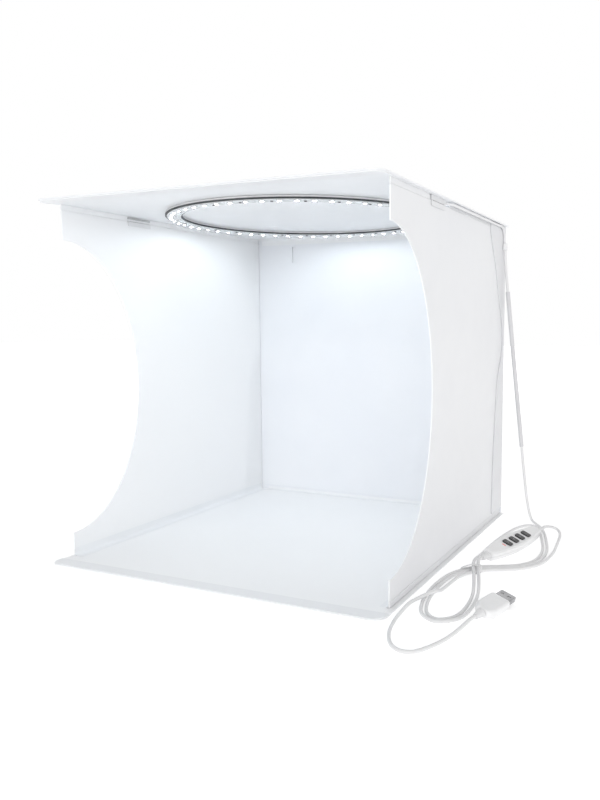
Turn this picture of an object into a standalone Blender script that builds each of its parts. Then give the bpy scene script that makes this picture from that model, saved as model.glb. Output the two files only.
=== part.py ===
"""Folding light tent cube with a ring light, an inline dimmer and a USB lead.

Metres, +Z up. The opening faces -Y and the part stands on z = 0. Depths are measured from the
front edges of the side walls towards the back.
"""
import math

import bmesh
import bpy
from mathutils import Matrix, Vector

MM = 0.001

# Sheets and the box
WIDTH = 304 * MM
HEIGHT = 300 * MM
DEPTH = 300 * MM
LIP = 24 * MM
SHEET = 1.2 * MM
GAP = 0.3 * MM
CORNER_RADIUS = 10 * MM
OVERRUN = 2 * MM
MERGE_DISTANCE = 0.01 * MM
SHARP_ANGLE = math.radians(35)

# Hems along the two lips
HEM_WIDTH = 13.5 * MM
HEM_THICKNESS = 0.6 * MM
HEM_INSET = 0.6 * MM

# D-shaped cut in each side wall
CUT_DEPTH = 86 * MM
CUT_LAND_BELOW = 20.5 * MM
CUT_LAND_ABOVE = 24.3 * MM
CUT_STEPS = 28
SIDE_REAR_CLEARANCE = 0.5 * MM

# Back panel
RETURN_DEPTH = 55 * MM
RETURN_THICKNESS = 1.0 * MM
RETURN_FOOT_GAP = 1.4 * MM
# Front edge of a return: share of its height, share of its depth
RETURN_EDGE_SHARES = [(1.0, 1.0), (0.86, 0.66), (0.77, 0.42), (0.68, 0.17), (0.6, 0.08), (0.48, 0.42),
                      (0.24, 0.6), (0.0, 0.65)]
SLIT_WIDTH = 5.5 * MM
SLIT_HEIGHT = 18 * MM
SLIT_FROM_TOP = 11 * MM
SLIT_FROM_MIDDLE = 99 * MM
FLAP_HEIGHT = 120 * MM
FLAP_THICKNESS = 1.0 * MM

# Ring light, hung under the top sheet
RING_CLEARANCE = 20.8 * MM
RING_BAND = 15 * MM
RING_STEPS = 72
BOARD_THICKNESS = 1.2 * MM
TAPE_THICKNESS = 1.2 * MM
TAPE_WIDTH = 9 * MM
STRIP_THICKNESS = 0.3 * MM
STRIP_WIDTH = 12 * MM
LED_COUNT = 56
LED_LENGTH = 3.5 * MM
LED_WIDTH = 2.8 * MM
LED_THICKNESS = 0.9 * MM
LED_FROM_OUTSIDE = 5 * MM
TERMINAL_LENGTH = 9 * MM
TERMINAL_WIDTH = 6 * MM
TERMINAL_HEIGHT = 3 * MM
TERMINAL_BEFORE_OUTLET = 7 * MM

# Rims of the top sheet, with the catches
RIM_OVER_LEDS = 0.3 * MM
RIM_ROOT = 0.6 * MM
RIM_REAR_CLEARANCE = 3 * MM
FUSE_DEPTH = 0.4 * MM
CATCH_LENGTH = 30 * MM
CATCH_DEPTH = 93 * MM
MAGNET_PROUD = 0.6 * MM
KEEPER_THICKNESS = 0.6 * MM
KEEPER_LEG = 4 * MM

# Ring lead along the top, and its clip on the back
WIRE_DIAMETER = 2.2 * MM
WIRE_BEND = 13 * MM
WIRE_OUTLET_LAND = 4.7 * MM
WIRE_OUTLET_LENGTH = 12 * MM
WIRE_DROP_FROM_REAR = 10 * MM
WIRE_COVER = 0.2 * MM
WIRE_STRAIGHT = 2 * MM
WIRE_POINT_SPACING = 24 * MM
WIRE_BEND_STEPS = 7
CLIP_WALL = 0.6 * MM
CLIP_LENGTH = 5 * MM
CLIP_HEIGHT = 7 * MM

# Free cords
CORD_DIAMETER = 2.8 * MM
CORD_GAP = 1.0 * MM
SLEEVE_WALL = 0.4 * MM
SLEEVE_TOP = 236 * MM
SLEEVE_BOTTOM = 72 * MM
TUBE_SIDES = 8
TIE_WIDTH = 3.5 * MM
TIE_THICKNESS = 0.8 * MM
TIE_LANES = 4
TIE_SLACK_WIDTH = 3.4 * MM
TIE_SLACK_HEIGHT = 1.8 * MM
TIE_PLACE = (24.4 * MM, 100 * MM)
TIE_RADIUS = 3.2 * MM
TABLE_GAP = 0.1 * MM

# Inline controller: its own X is across, Y along and Z up out of its face
CONTROLLER_NOSE = 25 * MM
CONTROLLER_SHOULDER = 5 * MM
CONTROLLER_END_WIDTH = 9 * MM
CONTROLLER_SPLIT_LAND = 0.7 * MM
CONTROLLER_WALL = 1.2 * MM
CONTROLLER_CHAMFER = 1.2 * MM
CONTROLLER_LEDGE = 1.0 * MM
CONTROLLER_LEDGE_RISE = 1.2 * MM
CONTROLLER_PLACE = (39 * MM, 177 * MM)
CONTROLLER_HEADING = math.radians(13.5)
CONTROLLER_ROLL = math.radians(20)
CONTROLLER_STEPS = 12
CIRCUIT_THICKNESS = 1.0 * MM
SWITCH_SIZE = 5 * MM
SWITCH_HEIGHT = 1.9 * MM
BUTTON_SPACE = 3.9 * MM
BUTTONS_AHEAD = 1.8 * MM
BUTTON_ACROSS = 1 * MM
BUTTON_LENGTH = 6 * MM
BUTTON_WIDTH = 8 * MM
BUTTON_RADIUS = 1.4 * MM
BUTTON_PROUD = 1.0 * MM
BUTTON_TRAVEL = 0.5 * MM
BUTTON_FLANGE = 0.8 * MM
BUTTON_CHAMFER = 0.4 * MM
BUTTON_NAMES = ("button_power", "button_colour", "button_brighter", "button_dimmer")
INDICATOR_LENGTH = 1.6 * MM
INDICATOR_WIDTH = 3.6 * MM
INDICATOR_FROM_BUTTON = 6.5 * MM
RELIEF_LENGTH = 9 * MM
RELIEF_WALL = 0.8 * MM
RELIEF_FLARE = 2.2 * MM
RELIEF_SIDES = 16

# USB plug: its own Y runs from the relief's tip to the open end of the shell
PLUG_PLACE = (56.5 * MM, 2 * MM)
PLUG_HEADING = math.radians(13)
PLUG_ROLL = math.radians(16)
PLUG_RELIEF_LENGTH = 8 * MM
PLUG_LENGTH = 27 * MM
PLUG_SIDE_WALL = 2 * MM
PLUG_FACE_WALL = 1.75 * MM
PLUG_NECK_TAPER = 3.5 * MM
PLUG_NECK_STEP = 0.7 * MM
PLUG_SHOULDER = 6 * MM
PLUG_RADIUS = 2.2 * MM
SHELL_LENGTH = 12 * MM
SHELL_WIDTH = 12 * MM
SHELL_HEIGHT = 4.5 * MM
SHELL_WALL = 0.35 * MM
SHELL_RADIUS = 0.7 * MM
SHELL_HOLE = 2.3 * MM
SHELL_HOLE_FROM_FRONT = 5.2 * MM
SHELL_HOLE_APART = 5.6 * MM
TONGUE_THICKNESS = 1.6 * MM
TONGUE_SETBACK = 1.0 * MM
CONTACT_COUNT = 4
CONTACT_PITCH = 2.2 * MM
CONTACT_WIDTH = 1.1 * MM
CONTACT_SETBACK = 2.3 * MM
CONTACT_THICKNESS = 0.2 * MM

# Worked out from the sizes above
REAR_FACE = DEPTH + GAP + FLAP_THICKNESS
MID_DEPTH = (REAR_FACE - LIP) / 2
CEILING = HEIGHT - SHEET
HALF = WIDTH / 2
OVERHANG = RETURN_THICKNESS + WIRE_DIAMETER + WIRE_COVER + GAP * 2
SIDE_OUT = HALF - OVERHANG
SIDE_IN = SIDE_OUT - SHEET
LEFT_HINGE_HEIGHT = (SHEET + GAP) * 2
RIGHT_HINGE_HEIGHT = LEFT_HINGE_HEIGHT + SHEET + KEEPER_THICKNESS + GAP * 2
BACK_HINGE_HEIGHT = SHEET + FLAP_THICKNESS
RETURN_BOTTOM = RIGHT_HINGE_HEIGHT + SHEET + RETURN_FOOT_GAP
TAPE_TOP = CEILING - GAP
BOARD_TOP = TAPE_TOP - TAPE_THICKNESS - GAP
BOARD_BOTTOM = BOARD_TOP - BOARD_THICKNESS
STRIP_TOP = BOARD_BOTTOM - GAP
STRIP_BOTTOM = STRIP_TOP - STRIP_THICKNESS
LED_BOTTOM = STRIP_BOTTOM - LED_THICKNESS
SIDE_TOP = LED_BOTTOM
RIM_BOTTOM = SIDE_TOP + RIM_OVER_LEDS
SIDE_BOTTOM = SHEET + GAP
RING_DEPTH = DEPTH / 2
RING_RADIUS = min(SIDE_IN, RING_DEPTH) - RING_CLEARANCE
CUT_TOP = SIDE_TOP - CUT_LAND_ABOVE
CUT_BOTTOM = SIDE_BOTTOM + CUT_LAND_BELOW
WIRE_RADIUS = WIRE_DIAMETER / 2
WIRE_OUTLET_DEPTH = CATCH_DEPTH + CATCH_LENGTH / 2 + GAP + WIRE_OUTLET_LAND
WIRE_DROP_DEPTH = DEPTH - WIRE_DROP_FROM_REAR
WIRE_HEIGHT = CEILING - RIM_ROOT - GAP - WIRE_RADIUS
WIRE_X = SIDE_OUT + GAP + RETURN_THICKNESS + GAP + WIRE_RADIUS
CLIP_TOP = WIRE_HEIGHT - WIRE_BEND - WIRE_STRAIGHT - GAP
CLIP_BOTTOM = CLIP_TOP - CLIP_HEIGHT
CLIP_IN = SIDE_OUT + GAP + RETURN_THICKNESS + GAP
CLIP_WIDTH = CORD_DIAMETER + CLIP_WALL * 2
CLIP_MIDDLE = CLIP_IN + CLIP_WIDTH / 2
LANE = CORD_DIAMETER + CORD_GAP
TIE_INNER_WIDTH = LANE * TIE_LANES + TIE_SLACK_WIDTH
TIE_INNER_HEIGHT = CORD_DIAMETER * 2 + TIE_SLACK_HEIGHT
RELIEF_NARROW = CORD_DIAMETER + RELIEF_WALL * 2
RELIEF_WIDE = RELIEF_NARROW + RELIEF_FLARE
BUTTON_PITCH = BUTTON_LENGTH + BUTTON_FLANGE * 2 + BUTTON_SPACE
BUTTON_FIRST = BUTTONS_AHEAD - BUTTON_PITCH * (len(BUTTON_NAMES) - 1) / 2
BUTTON_GROUP = BUTTON_PITCH * len(BUTTON_NAMES) - BUTTON_SPACE
CONTROLLER_LENGTH = BUTTON_GROUP + CONTROLLER_NOSE * 2
CONTROLLER_WIDTH = BUTTON_WIDTH + CONTROLLER_SHOULDER * 2
CONTROLLER_LEDGE_HEIGHT = CONTROLLER_WALL + CONTROLLER_LEDGE_RISE
CIRCUIT_TOP = CONTROLLER_LEDGE_HEIGHT + GAP + CIRCUIT_THICKNESS
CONTROLLER_SPLIT = CIRCUIT_TOP + CONTROLLER_SPLIT_LAND
SWITCH_TOP = CIRCUIT_TOP + GAP + SWITCH_HEIGHT
BUTTON_BOTTOM = SWITCH_TOP + GAP + BUTTON_TRAVEL
CONTROLLER_HEIGHT = BUTTON_BOTTOM + BUTTON_FLANGE + GAP + CONTROLLER_WALL
PLUG_WIDTH = SHELL_WIDTH + PLUG_SIDE_WALL * 2
PLUG_HEIGHT = SHELL_HEIGHT + PLUG_FACE_WALL * 2

# Routes of the free cords, chosen by hand in millimetres: right of the floor sheet's edge, depth and height
HANG_ROUTE = [
    (-0.1, 290.0, 266.0), (1.2, 289.5, 250.0), (5.6, 287.6, 212.0), (11.0, 285.0, 168.0),
    (16.6, 282.2, 124.0), (22.0, 279.6, 82.0), (27.0, 277.0, 44.0), (31.0, 274.6, 20.0),
    (35.5, 271.4, 6.0), (41.2, 266.0, 2.6),
]
# One whole turn of the figure of eight, round the rear loop, the front loop and back
TURN_ROUTE = [
    (48.0, 257.0), (55.0, 240.0), (62.5, 214.0), (69.0, 186.0), (71.0, 163.0), (68.0, 144.0),
    (59.0, 129.0), (45.5, 119.5), (33.5, 110.5), (23.5, 98.5), (16.5, 82.0), (14.0, 62.0),
    (15.0, 40.0), (18.5, 20.0), (24.5, 4.0), (32.5, -2.5), (39.6, 4.0), (42.0, 21.0),
    (39.6, 47.0), (32.0, 75.0), (24.5, 98.5), (19.0, 120.0), (16.5, 148.0), (16.8, 180.0),
    (18.5, 210.0), (22.0, 238.0), (28.0, 256.0), (38.0, 264.0),
]
# Heights along that turn: the waist is crossed low on the way out and high on the way back
TURN_HEIGHTS = [
    1.6, 1.6, 1.6, 1.6, 1.6, 1.6, 1.6, 1.6, 2.3, 2.8, 2.3, 1.6, 1.6, 1.6, 1.6, 1.6, 1.6, 1.6,
    2.9, 6.2, 6.4, 5.2, 1.7, 1.6, 1.6, 1.6, 1.6, 1.6,
]
USB_START_ROUTE = [
    (54.6, 240.0, 7.0), (58.0, 248.0, 5.8), (63.5, 251.6, 4.0), (68.4, 246.5, 1.9), (71.4, 232.0, 1.6),
    (73.6, 208.0, 1.6), (75.2, 184.0, 1.6),
]
USB_END_ROUTE = [
    (17.4, 47.0, 2.6), (15.4, 36.0, 5.0), (11.4, 22.0, 5.2), (7.6, 8.0, 4.6), (6.2, -6.0, 2.0),
    (7.4, -20.0, 1.6), (11.6, -38.0, 1.6), (18.6, -53.0, 1.6), (27.6, -61.0, 1.6),
    (36.6, -59.0, 1.6), (43.6, -47.0, 1.6), (48.6, -33.0, 1.7), (52.4, -19.0, 3.0),
]
USB_TURN_FROM = 4
USB_TURN_TO = 12
TURNS = 2
LEAD_STOPS_EARLY = 7


def at_depth(depth):
    """World Y of a depth behind the front edges of the side walls."""
    return depth - MID_DEPTH


def clear_scene():
    for item in list(bpy.data.objects):
        bpy.data.objects.remove(item, do_unlink=True)


def make_material(name, colour, roughness, metallic=0.0):
    material = bpy.data.materials.new(name)
    material.use_nodes = True
    shader = material.node_tree.nodes["Principled BSDF"]
    shader.inputs["Base Color"].default_value = (*colour, 1.0)
    shader.inputs["Roughness"].default_value = roughness
    shader.inputs["Metallic"].default_value = metallic
    material.diffuse_color = (*colour, 1.0)
    return material


def make_frame(name, matrix):
    """An empty that carries pieces: a body's hinge axis or a small assembly's own axes."""
    frame = bpy.data.objects.new(name, None)
    bpy.context.scene.collection.objects.link(frame)
    frame.matrix_world = matrix
    return frame


def add_piece(name, bm, material, frame, local=False, smooth=False):
    """Turns a bmesh in world places into a named object carried by the frame."""
    if not local:
        bm.transform(FRAME_MATRICES[frame].inverted())
    bmesh.ops.remove_doubles(bm, verts=bm.verts, dist=MERGE_DISTANCE)
    bmesh.ops.recalc_face_normals(bm, faces=bm.faces)
    mesh = bpy.data.meshes.new(name)
    bm.to_mesh(mesh)
    bm.free()
    mesh.materials.append(material)
    if smooth:
        mesh.shade_smooth()
        mesh.set_sharp_from_angle(angle=SHARP_ANGLE)
    piece = bpy.data.objects.new(name, mesh)
    bpy.context.scene.collection.objects.link(piece)
    piece.parent = FRAMES[frame]
    return piece


def boolean(piece, tools, operation):
    for tool in tools:
        tool.hide_render = True
        tool.display_type = "WIRE"
        modifier = piece.modifiers.new(tool.name, "BOOLEAN")
        modifier.operation = operation
        modifier.object = tool


def prism(outline, axis, start, end):
    """A closed solid from an outline of two named axes, drawn out along the third."""
    bm = bmesh.new()
    corners = []
    for first, second in outline:
        places = {"X": (start, first, second), "Y": (first, start, second), "Z": (first, second, start)}
        place = places[axis]
        corners.append(bm.verts.new(place))
    face = bm.faces.new(corners)
    drawn = bmesh.ops.extrude_face_region(bm, geom=[face])
    shift = {"X": (end - start, 0, 0), "Y": (0, end - start, 0), "Z": (0, 0, end - start)}[axis]
    moved = [item for item in drawn["geom"] if isinstance(item, bmesh.types.BMVert)]
    bmesh.ops.translate(bm, verts=moved, vec=shift)
    return bm


def block(low, high):
    outline = [(low[0], low[1]), (high[0], low[1]), (high[0], high[1]), (low[0], high[1])]
    return prism(outline, "Z", low[2], high[2])


def loft(rings, closed=False):
    """Skins rings of equally many points. Open lofts get end caps; closed ones meet their start."""
    bm = bmesh.new()
    rows = [[bm.verts.new(point) for point in ring] for ring in rings]
    pairs = list(zip(rows, rows[1:]))
    if closed:
        pairs.append((rows[-1], rows[0]))
    for row, following in pairs:
        for index in range(len(row)):
            after = (index + 1) % len(row)
            bm.faces.new((row[index], row[after], following[after], following[index]))
    if not closed:
        bm.faces.new(rows[0][::-1])
        bm.faces.new(rows[-1])
    return bm


def rounded_rectangle(width, height, radius, steps=4):
    """Outline points, anticlockwise, centred on zero."""
    points = []
    centres = ((1, 1), (-1, 1), (-1, -1), (1, -1))
    for quarter, (across, up) in enumerate(centres):
        middle = (across * (width / 2 - radius), up * (height / 2 - radius))
        for step in range(steps + 1):
            angle = math.pi / 2 * (quarter + step / steps)
            points.append((middle[0] + radius * math.cos(angle), middle[1] + radius * math.sin(angle)))
    return points


def sheet_outline(half_width, front, rear, radius, steps=8):
    """Plan outline of a sheet with two rounded front corners."""
    points = [(half_width, at_depth(rear)), (-half_width, at_depth(rear))]
    for step in range(steps + 1):
        angle = math.pi + math.pi / 2 * step / steps
        points.append((-half_width + radius + radius * math.cos(angle),
                       at_depth(front) + radius + radius * math.sin(angle)))
    for step in range(steps + 1):
        angle = 1.5 * math.pi + math.pi / 2 * step / steps
        points.append((half_width - radius + radius * math.cos(angle),
                       at_depth(front) + radius + radius * math.sin(angle)))
    return points


def smooth_path(points, samples, closed=False):
    """Points read from a smooth curve through the route's points, samples to each span."""
    route = [Vector(point) for point in points]
    count = len(route)
    spans = count if closed else count - 1
    path = []
    for span in range(spans):
        if closed:
            before, start, end, after = (route[(span + step) % count] for step in (-1, 0, 1, 2))
        else:
            start, end = route[span], route[span + 1]
            before = route[span - 1] if span else start * 2 - end
            after = route[span + 2] if span + 2 < count else end * 2 - start
        for step in range(samples):
            share = step / samples
            bend = (start * 2 + (end - before) * share
                    + (before * 2 - start * 5 + end * 4 - after) * share ** 2
                    + (start * 3 - before - end * 3 + after) * share ** 3) / 2
            path.append(bend)
    if not closed:
        path.append(route[-1])
    return path


def turned_frame(path, index):
    """Two unit vectors square to the path at one of its points."""
    ahead = path[min(index + 1, len(path) - 1)] - path[max(index - 1, 0)]
    ahead.normalize()
    side = ahead.cross(Vector((0, 1, 0))).normalized()
    return side, side.cross(ahead)


def tube_rings(path, radius, sides):
    rings = []
    for index, centre in enumerate(path):
        side, up = turned_frame(path, index)
        ring = []
        for step in range(sides):
            angle = 2 * math.pi * step / sides
            ring.append(centre + (side * math.cos(angle) + up * math.sin(angle)) * radius)
        rings.append(ring)
    return rings


def add_cord(name, path, diameter, material, frame):
    """A round cord as a curve with filled ends."""
    curve = bpy.data.curves.new(name, "CURVE")
    curve.dimensions = "3D"
    curve.bevel_depth = diameter / 2
    curve.bevel_resolution = 2
    curve.use_fill_caps = True
    spline = curve.splines.new("POLY")
    spline.points.add(len(path) - 1)
    to_frame = FRAME_MATRICES[frame].inverted()
    for point, place in zip(spline.points, path):
        point.co = (*(to_frame @ place), 1.0)
    curve.materials.append(material)
    cord = bpy.data.objects.new(name, curve)
    bpy.context.scene.collection.objects.link(cord)
    cord.parent = FRAMES[frame]
    return cord


def least_gap(first, second, diameter, skip=0):
    """Smallest space between two cords, or one and itself past a number of points."""
    least = None
    for index, place in enumerate(first):
        others = second[index + skip:] if skip else second
        for other in others:
            space = (place - other).length - diameter
            if least is None or space < least:
                least = space
    return least


def heading_frame(place, heading, roll, drop):
    """Axes of a small assembly on the table, rolled onto its right edge; drop is how far that edge dips."""
    ground = Matrix.Translation((HALF + place[0], at_depth(place[1]), drop + TABLE_GAP))
    return ground @ Matrix.Rotation(-heading, 4, "Z") @ Matrix.Rotation(roll, 4, "Y")


FRAME_MATRICES = {
    "floor_frame": Matrix.Identity(4),
    "left_hinge": Matrix.Translation((-SIDE_IN, at_depth(0), LEFT_HINGE_HEIGHT)),
    "right_hinge": Matrix.Translation((SIDE_IN, at_depth(0), RIGHT_HINGE_HEIGHT)),
    "back_hinge": Matrix.Translation((0, at_depth(DEPTH), BACK_HINGE_HEIGHT)),
    "top_hinge": Matrix.Translation((0, at_depth(DEPTH), CEILING)),
    "controller_frame": heading_frame(
        CONTROLLER_PLACE, CONTROLLER_HEADING, CONTROLLER_ROLL,
        (CONTROLLER_WIDTH / 2 - CONTROLLER_CHAMFER) * math.sin(CONTROLLER_ROLL)),
    "plug_frame": heading_frame(
        PLUG_PLACE, PLUG_HEADING, PLUG_ROLL,
        (PLUG_WIDTH / 2 - PLUG_RADIUS) * math.sin(PLUG_ROLL) + PLUG_RADIUS * (1 - math.cos(PLUG_ROLL))),
}


def make_floor(materials):
    outline = sheet_outline(HALF, -LIP, DEPTH, CORNER_RADIUS)
    add_piece("floor_panel", prism(outline, "Z", 0, SHEET), materials["sheet"], "floor_frame")
    hem = sheet_outline(HALF - HEM_INSET, HEM_INSET - LIP, HEM_INSET + HEM_WIDTH - LIP,
                        CORNER_RADIUS - HEM_INSET)
    bottom = SHEET + GAP
    add_piece("floor_hem", prism(hem, "Z", bottom, bottom + HEM_THICKNESS), materials["hem"], "floor_frame")


def side_outline():
    """Depth and height outline of a side wall: notch for the keeper above, D-shaped cut in front."""
    rear = at_depth(DEPTH - SHEET - SIDE_REAR_CLEARANCE)
    notch_bottom = SIDE_TOP - KEEPER_THICKNESS - GAP
    notch_half = CATCH_LENGTH / 2 + GAP
    points = [(at_depth(0), SIDE_BOTTOM), (rear, SIDE_BOTTOM), (rear, SIDE_TOP)]
    points.append((at_depth(CATCH_DEPTH + notch_half), SIDE_TOP))
    points.append((at_depth(CATCH_DEPTH + notch_half), notch_bottom))
    points.append((at_depth(CATCH_DEPTH - notch_half), notch_bottom))
    points.append((at_depth(CATCH_DEPTH - notch_half), SIDE_TOP))
    points.append((at_depth(0), SIDE_TOP))
    for step in range(CUT_STEPS + 1):
        angle = math.pi * step / CUT_STEPS
        points.append((at_depth(CUT_DEPTH * math.sin(angle)),
                       (CUT_TOP + CUT_BOTTOM) / 2 + (CUT_TOP - CUT_BOTTOM) / 2 * math.cos(angle)))
    return points


def make_side(name, sign, materials):
    """A side wall with its keeper; sign is -1 on the left and +1 on the right."""
    hinge = f"{name}_hinge"
    faces = sorted((sign * SIDE_IN, sign * SIDE_OUT))
    add_piece(f"{name}_panel", prism(side_outline(), "X", *faces), materials["sheet"], hinge)
    middle = sign * (SIDE_IN + SIDE_OUT) / 2
    inner = SHEET / 2 + GAP
    outer = inner + KEEPER_THICKNESS
    foot = SIDE_TOP - KEEPER_LEG
    web = SIDE_TOP - KEEPER_THICKNESS
    channel = [(middle - outer, SIDE_TOP), (middle + outer, SIDE_TOP), (middle + outer, foot),
               (middle + inner, foot), (middle + inner, web), (middle - inner, web),
               (middle - inner, foot), (middle - outer, foot)]
    start = at_depth(CATCH_DEPTH - CATCH_LENGTH / 2)
    keeper = prism(channel, "Y", start, start + CATCH_LENGTH)
    add_piece(f"{name}_keeper", keeper, materials["steel"], hinge)


def make_back(materials):
    bottom = SHEET + GAP
    top = CEILING - GAP
    inside = DEPTH - SHEET
    edge = SIDE_OUT + GAP + RETURN_THICKNESS
    plate = block((-edge, at_depth(inside), bottom), (edge, at_depth(DEPTH), top))
    panel = add_piece("back_panel", plate, materials["sheet"], "back_hinge")
    returns = []
    for side, sign in (("left", -1), ("right", 1)):
        faces = sorted((sign * (SIDE_OUT + GAP), sign * edge))
        rear = at_depth(inside + FUSE_DEPTH)
        outline = [(rear, RETURN_BOTTOM), (rear, top)]
        for height_share, depth_share in RETURN_EDGE_SHARES:
            outline.append((at_depth(DEPTH - RETURN_DEPTH * depth_share),
                            RETURN_BOTTOM + (top - RETURN_BOTTOM) * height_share))
        sheet = prism(outline, "X", *faces)
        returns.append(add_piece(f"{side}_return", sheet, materials["sheet"], "back_hinge"))
    boolean(panel, returns, "UNION")
    slits = []
    for side, sign in (("left", -1), ("right", 1)):
        middle = sign * SLIT_FROM_MIDDLE
        low = (middle - SLIT_WIDTH / 2, at_depth(inside - OVERRUN), HEIGHT - SLIT_FROM_TOP - SLIT_HEIGHT)
        high = (middle + SLIT_WIDTH / 2, at_depth(DEPTH + OVERRUN), HEIGHT - SLIT_FROM_TOP)
        slits.append(add_piece(f"{side}_slit", block(low, high), materials["sheet"], "back_hinge"))
    boolean(panel, slits, "DIFFERENCE")
    flap = block((-SIDE_OUT, at_depth(DEPTH + GAP), top - FLAP_HEIGHT),
                 (SIDE_OUT, at_depth(REAR_FACE), top))
    add_piece("rear_flap", flap, materials["sheet"], "back_hinge")
    clip = block((CLIP_IN, at_depth(WIRE_DROP_DEPTH) - CLIP_LENGTH / 2, CLIP_BOTTOM),
                 (CLIP_IN + CLIP_WIDTH, at_depth(WIRE_DROP_DEPTH) + CLIP_LENGTH / 2, CLIP_TOP))
    add_piece("cord_clip", clip, materials["cord"], "back_hinge")


def rim_outline(outlet):
    """Depth and height outline of a rim, with the magnet's notch and on the right the wire's."""
    top = CEILING + FUSE_DEPTH
    notch_top = CEILING - RIM_ROOT
    rear = DEPTH - RIM_REAR_CLEARANCE
    notches = [(CATCH_DEPTH - CATCH_LENGTH / 2 - GAP, CATCH_DEPTH + CATCH_LENGTH / 2 + GAP)]
    if outlet:
        notches.append((WIRE_OUTLET_DEPTH, WIRE_OUTLET_DEPTH + WIRE_OUTLET_LENGTH))
    points = [(at_depth(rear), RIM_BOTTOM), (at_depth(rear), top),
              (at_depth(0), top), (at_depth(0), RIM_BOTTOM)]
    for start, end in notches:
        points.append((at_depth(start), RIM_BOTTOM))
        points.append((at_depth(start), notch_top))
        points.append((at_depth(end), notch_top))
        points.append((at_depth(end), RIM_BOTTOM))
    return points


def make_top(materials):
    outline = sheet_outline(HALF, -LIP, DEPTH, CORNER_RADIUS)
    panel = add_piece("top_panel", prism(outline, "Z", CEILING, HEIGHT), materials["sheet"], "top_hinge")
    rims = []
    for side, sign in (("left", -1), ("right", 1)):
        faces = sorted((sign * SIDE_IN, sign * SIDE_OUT))
        rim = prism(rim_outline(sign > 0), "X", *faces)
        rims.append(add_piece(f"{side}_rim", rim, materials["sheet"], "top_hinge"))
        start = at_depth(CATCH_DEPTH - CATCH_LENGTH / 2)
        magnet = block((faces[0] - MAGNET_PROUD, start, RIM_BOTTOM),
                       (faces[1] + MAGNET_PROUD, start + CATCH_LENGTH, CEILING - RIM_ROOT - GAP))
        add_piece(f"{side}_magnet", magnet, materials["magnet"], "top_hinge")
    boolean(panel, rims, "UNION")
    hem = sheet_outline(HALF - HEM_INSET, HEM_INSET - LIP, HEM_INSET + HEM_WIDTH - LIP,
                        CORNER_RADIUS - HEM_INSET)
    top = CEILING - GAP
    add_piece("top_hem", prism(hem, "Z", top - HEM_THICKNESS, top), materials["hem"], "top_hinge")


def ring_place(radius, angle, height):
    return Vector((radius * math.cos(angle), at_depth(RING_DEPTH) + radius * math.sin(angle), height))


def flat_ring(radius, width, bottom, top):
    """An annulus round the ring's middle, width inwards from the radius."""
    rings = []
    for reach, height in ((radius, bottom), (radius, top), (radius - width, top), (radius - width, bottom)):
        angles = [2 * math.pi * step / RING_STEPS for step in range(RING_STEPS)]
        rings.append([ring_place(reach, angle, height) for angle in angles])
    return loft(rings, closed=True)


def make_ring(materials):
    middle = RING_RADIUS - RING_BAND / 2
    tape = flat_ring(middle + TAPE_WIDTH / 2, TAPE_WIDTH, TAPE_TOP - TAPE_THICKNESS, TAPE_TOP)
    add_piece("ring_tape", tape, materials["foam"], "top_hinge", smooth=True)
    board = flat_ring(RING_RADIUS, RING_BAND, BOARD_BOTTOM, BOARD_TOP)
    add_piece("ring_board", board, materials["board"], "top_hinge", smooth=True)
    add_piece("ring_leds", led_strip(), materials["led"], "top_hinge")


def led_strip():
    """The thin strip that carries the LEDs, with each package drawn down out of it."""
    outer = RING_RADIUS - (RING_BAND - STRIP_WIDTH) / 2
    led_outer = RING_RADIUS - LED_FROM_OUTSIDE + LED_WIDTH / 2
    half_angle = LED_LENGTH / (RING_RADIUS - LED_FROM_OUTSIDE) / 2
    angles = []
    for index in range(LED_COUNT):
        middle = 2 * math.pi * index / LED_COUNT
        angles += [middle - half_angle, middle + half_angle]
    rings = []
    inner = outer - STRIP_WIDTH
    led_inner = led_outer - LED_WIDTH
    for reach, height in ((outer, STRIP_TOP), (inner, STRIP_TOP), (inner, STRIP_BOTTOM),
                          (led_inner, STRIP_BOTTOM), (led_outer, STRIP_BOTTOM), (outer, STRIP_BOTTOM)):
        rings.append([ring_place(reach, angle, height) for angle in angles])
    bm = loft(rings, closed=True)
    low = STRIP_BOTTOM + MERGE_DISTANCE
    packages = []
    for face in bm.faces:
        reaches = [math.hypot(vert.co.x, vert.co.y - at_depth(RING_DEPTH)) for vert in face.verts]
        under = all(vert.co.z < low for vert in face.verts)
        between = min(reaches) > led_inner - MERGE_DISTANCE and max(reaches) < led_outer + MERGE_DISTANCE
        span = max((one.co - other.co).length for one in face.verts for other in face.verts)
        if under and between and span < LED_LENGTH + LED_WIDTH:
            packages.append(face)
    for face in packages:
        drawn = bmesh.ops.extrude_discrete_faces(bm, faces=[face])
        for moved in drawn["faces"]:
            bmesh.ops.translate(bm, verts=moved.verts, vec=(0, 0, -LED_THICKNESS))
    return bm


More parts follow.
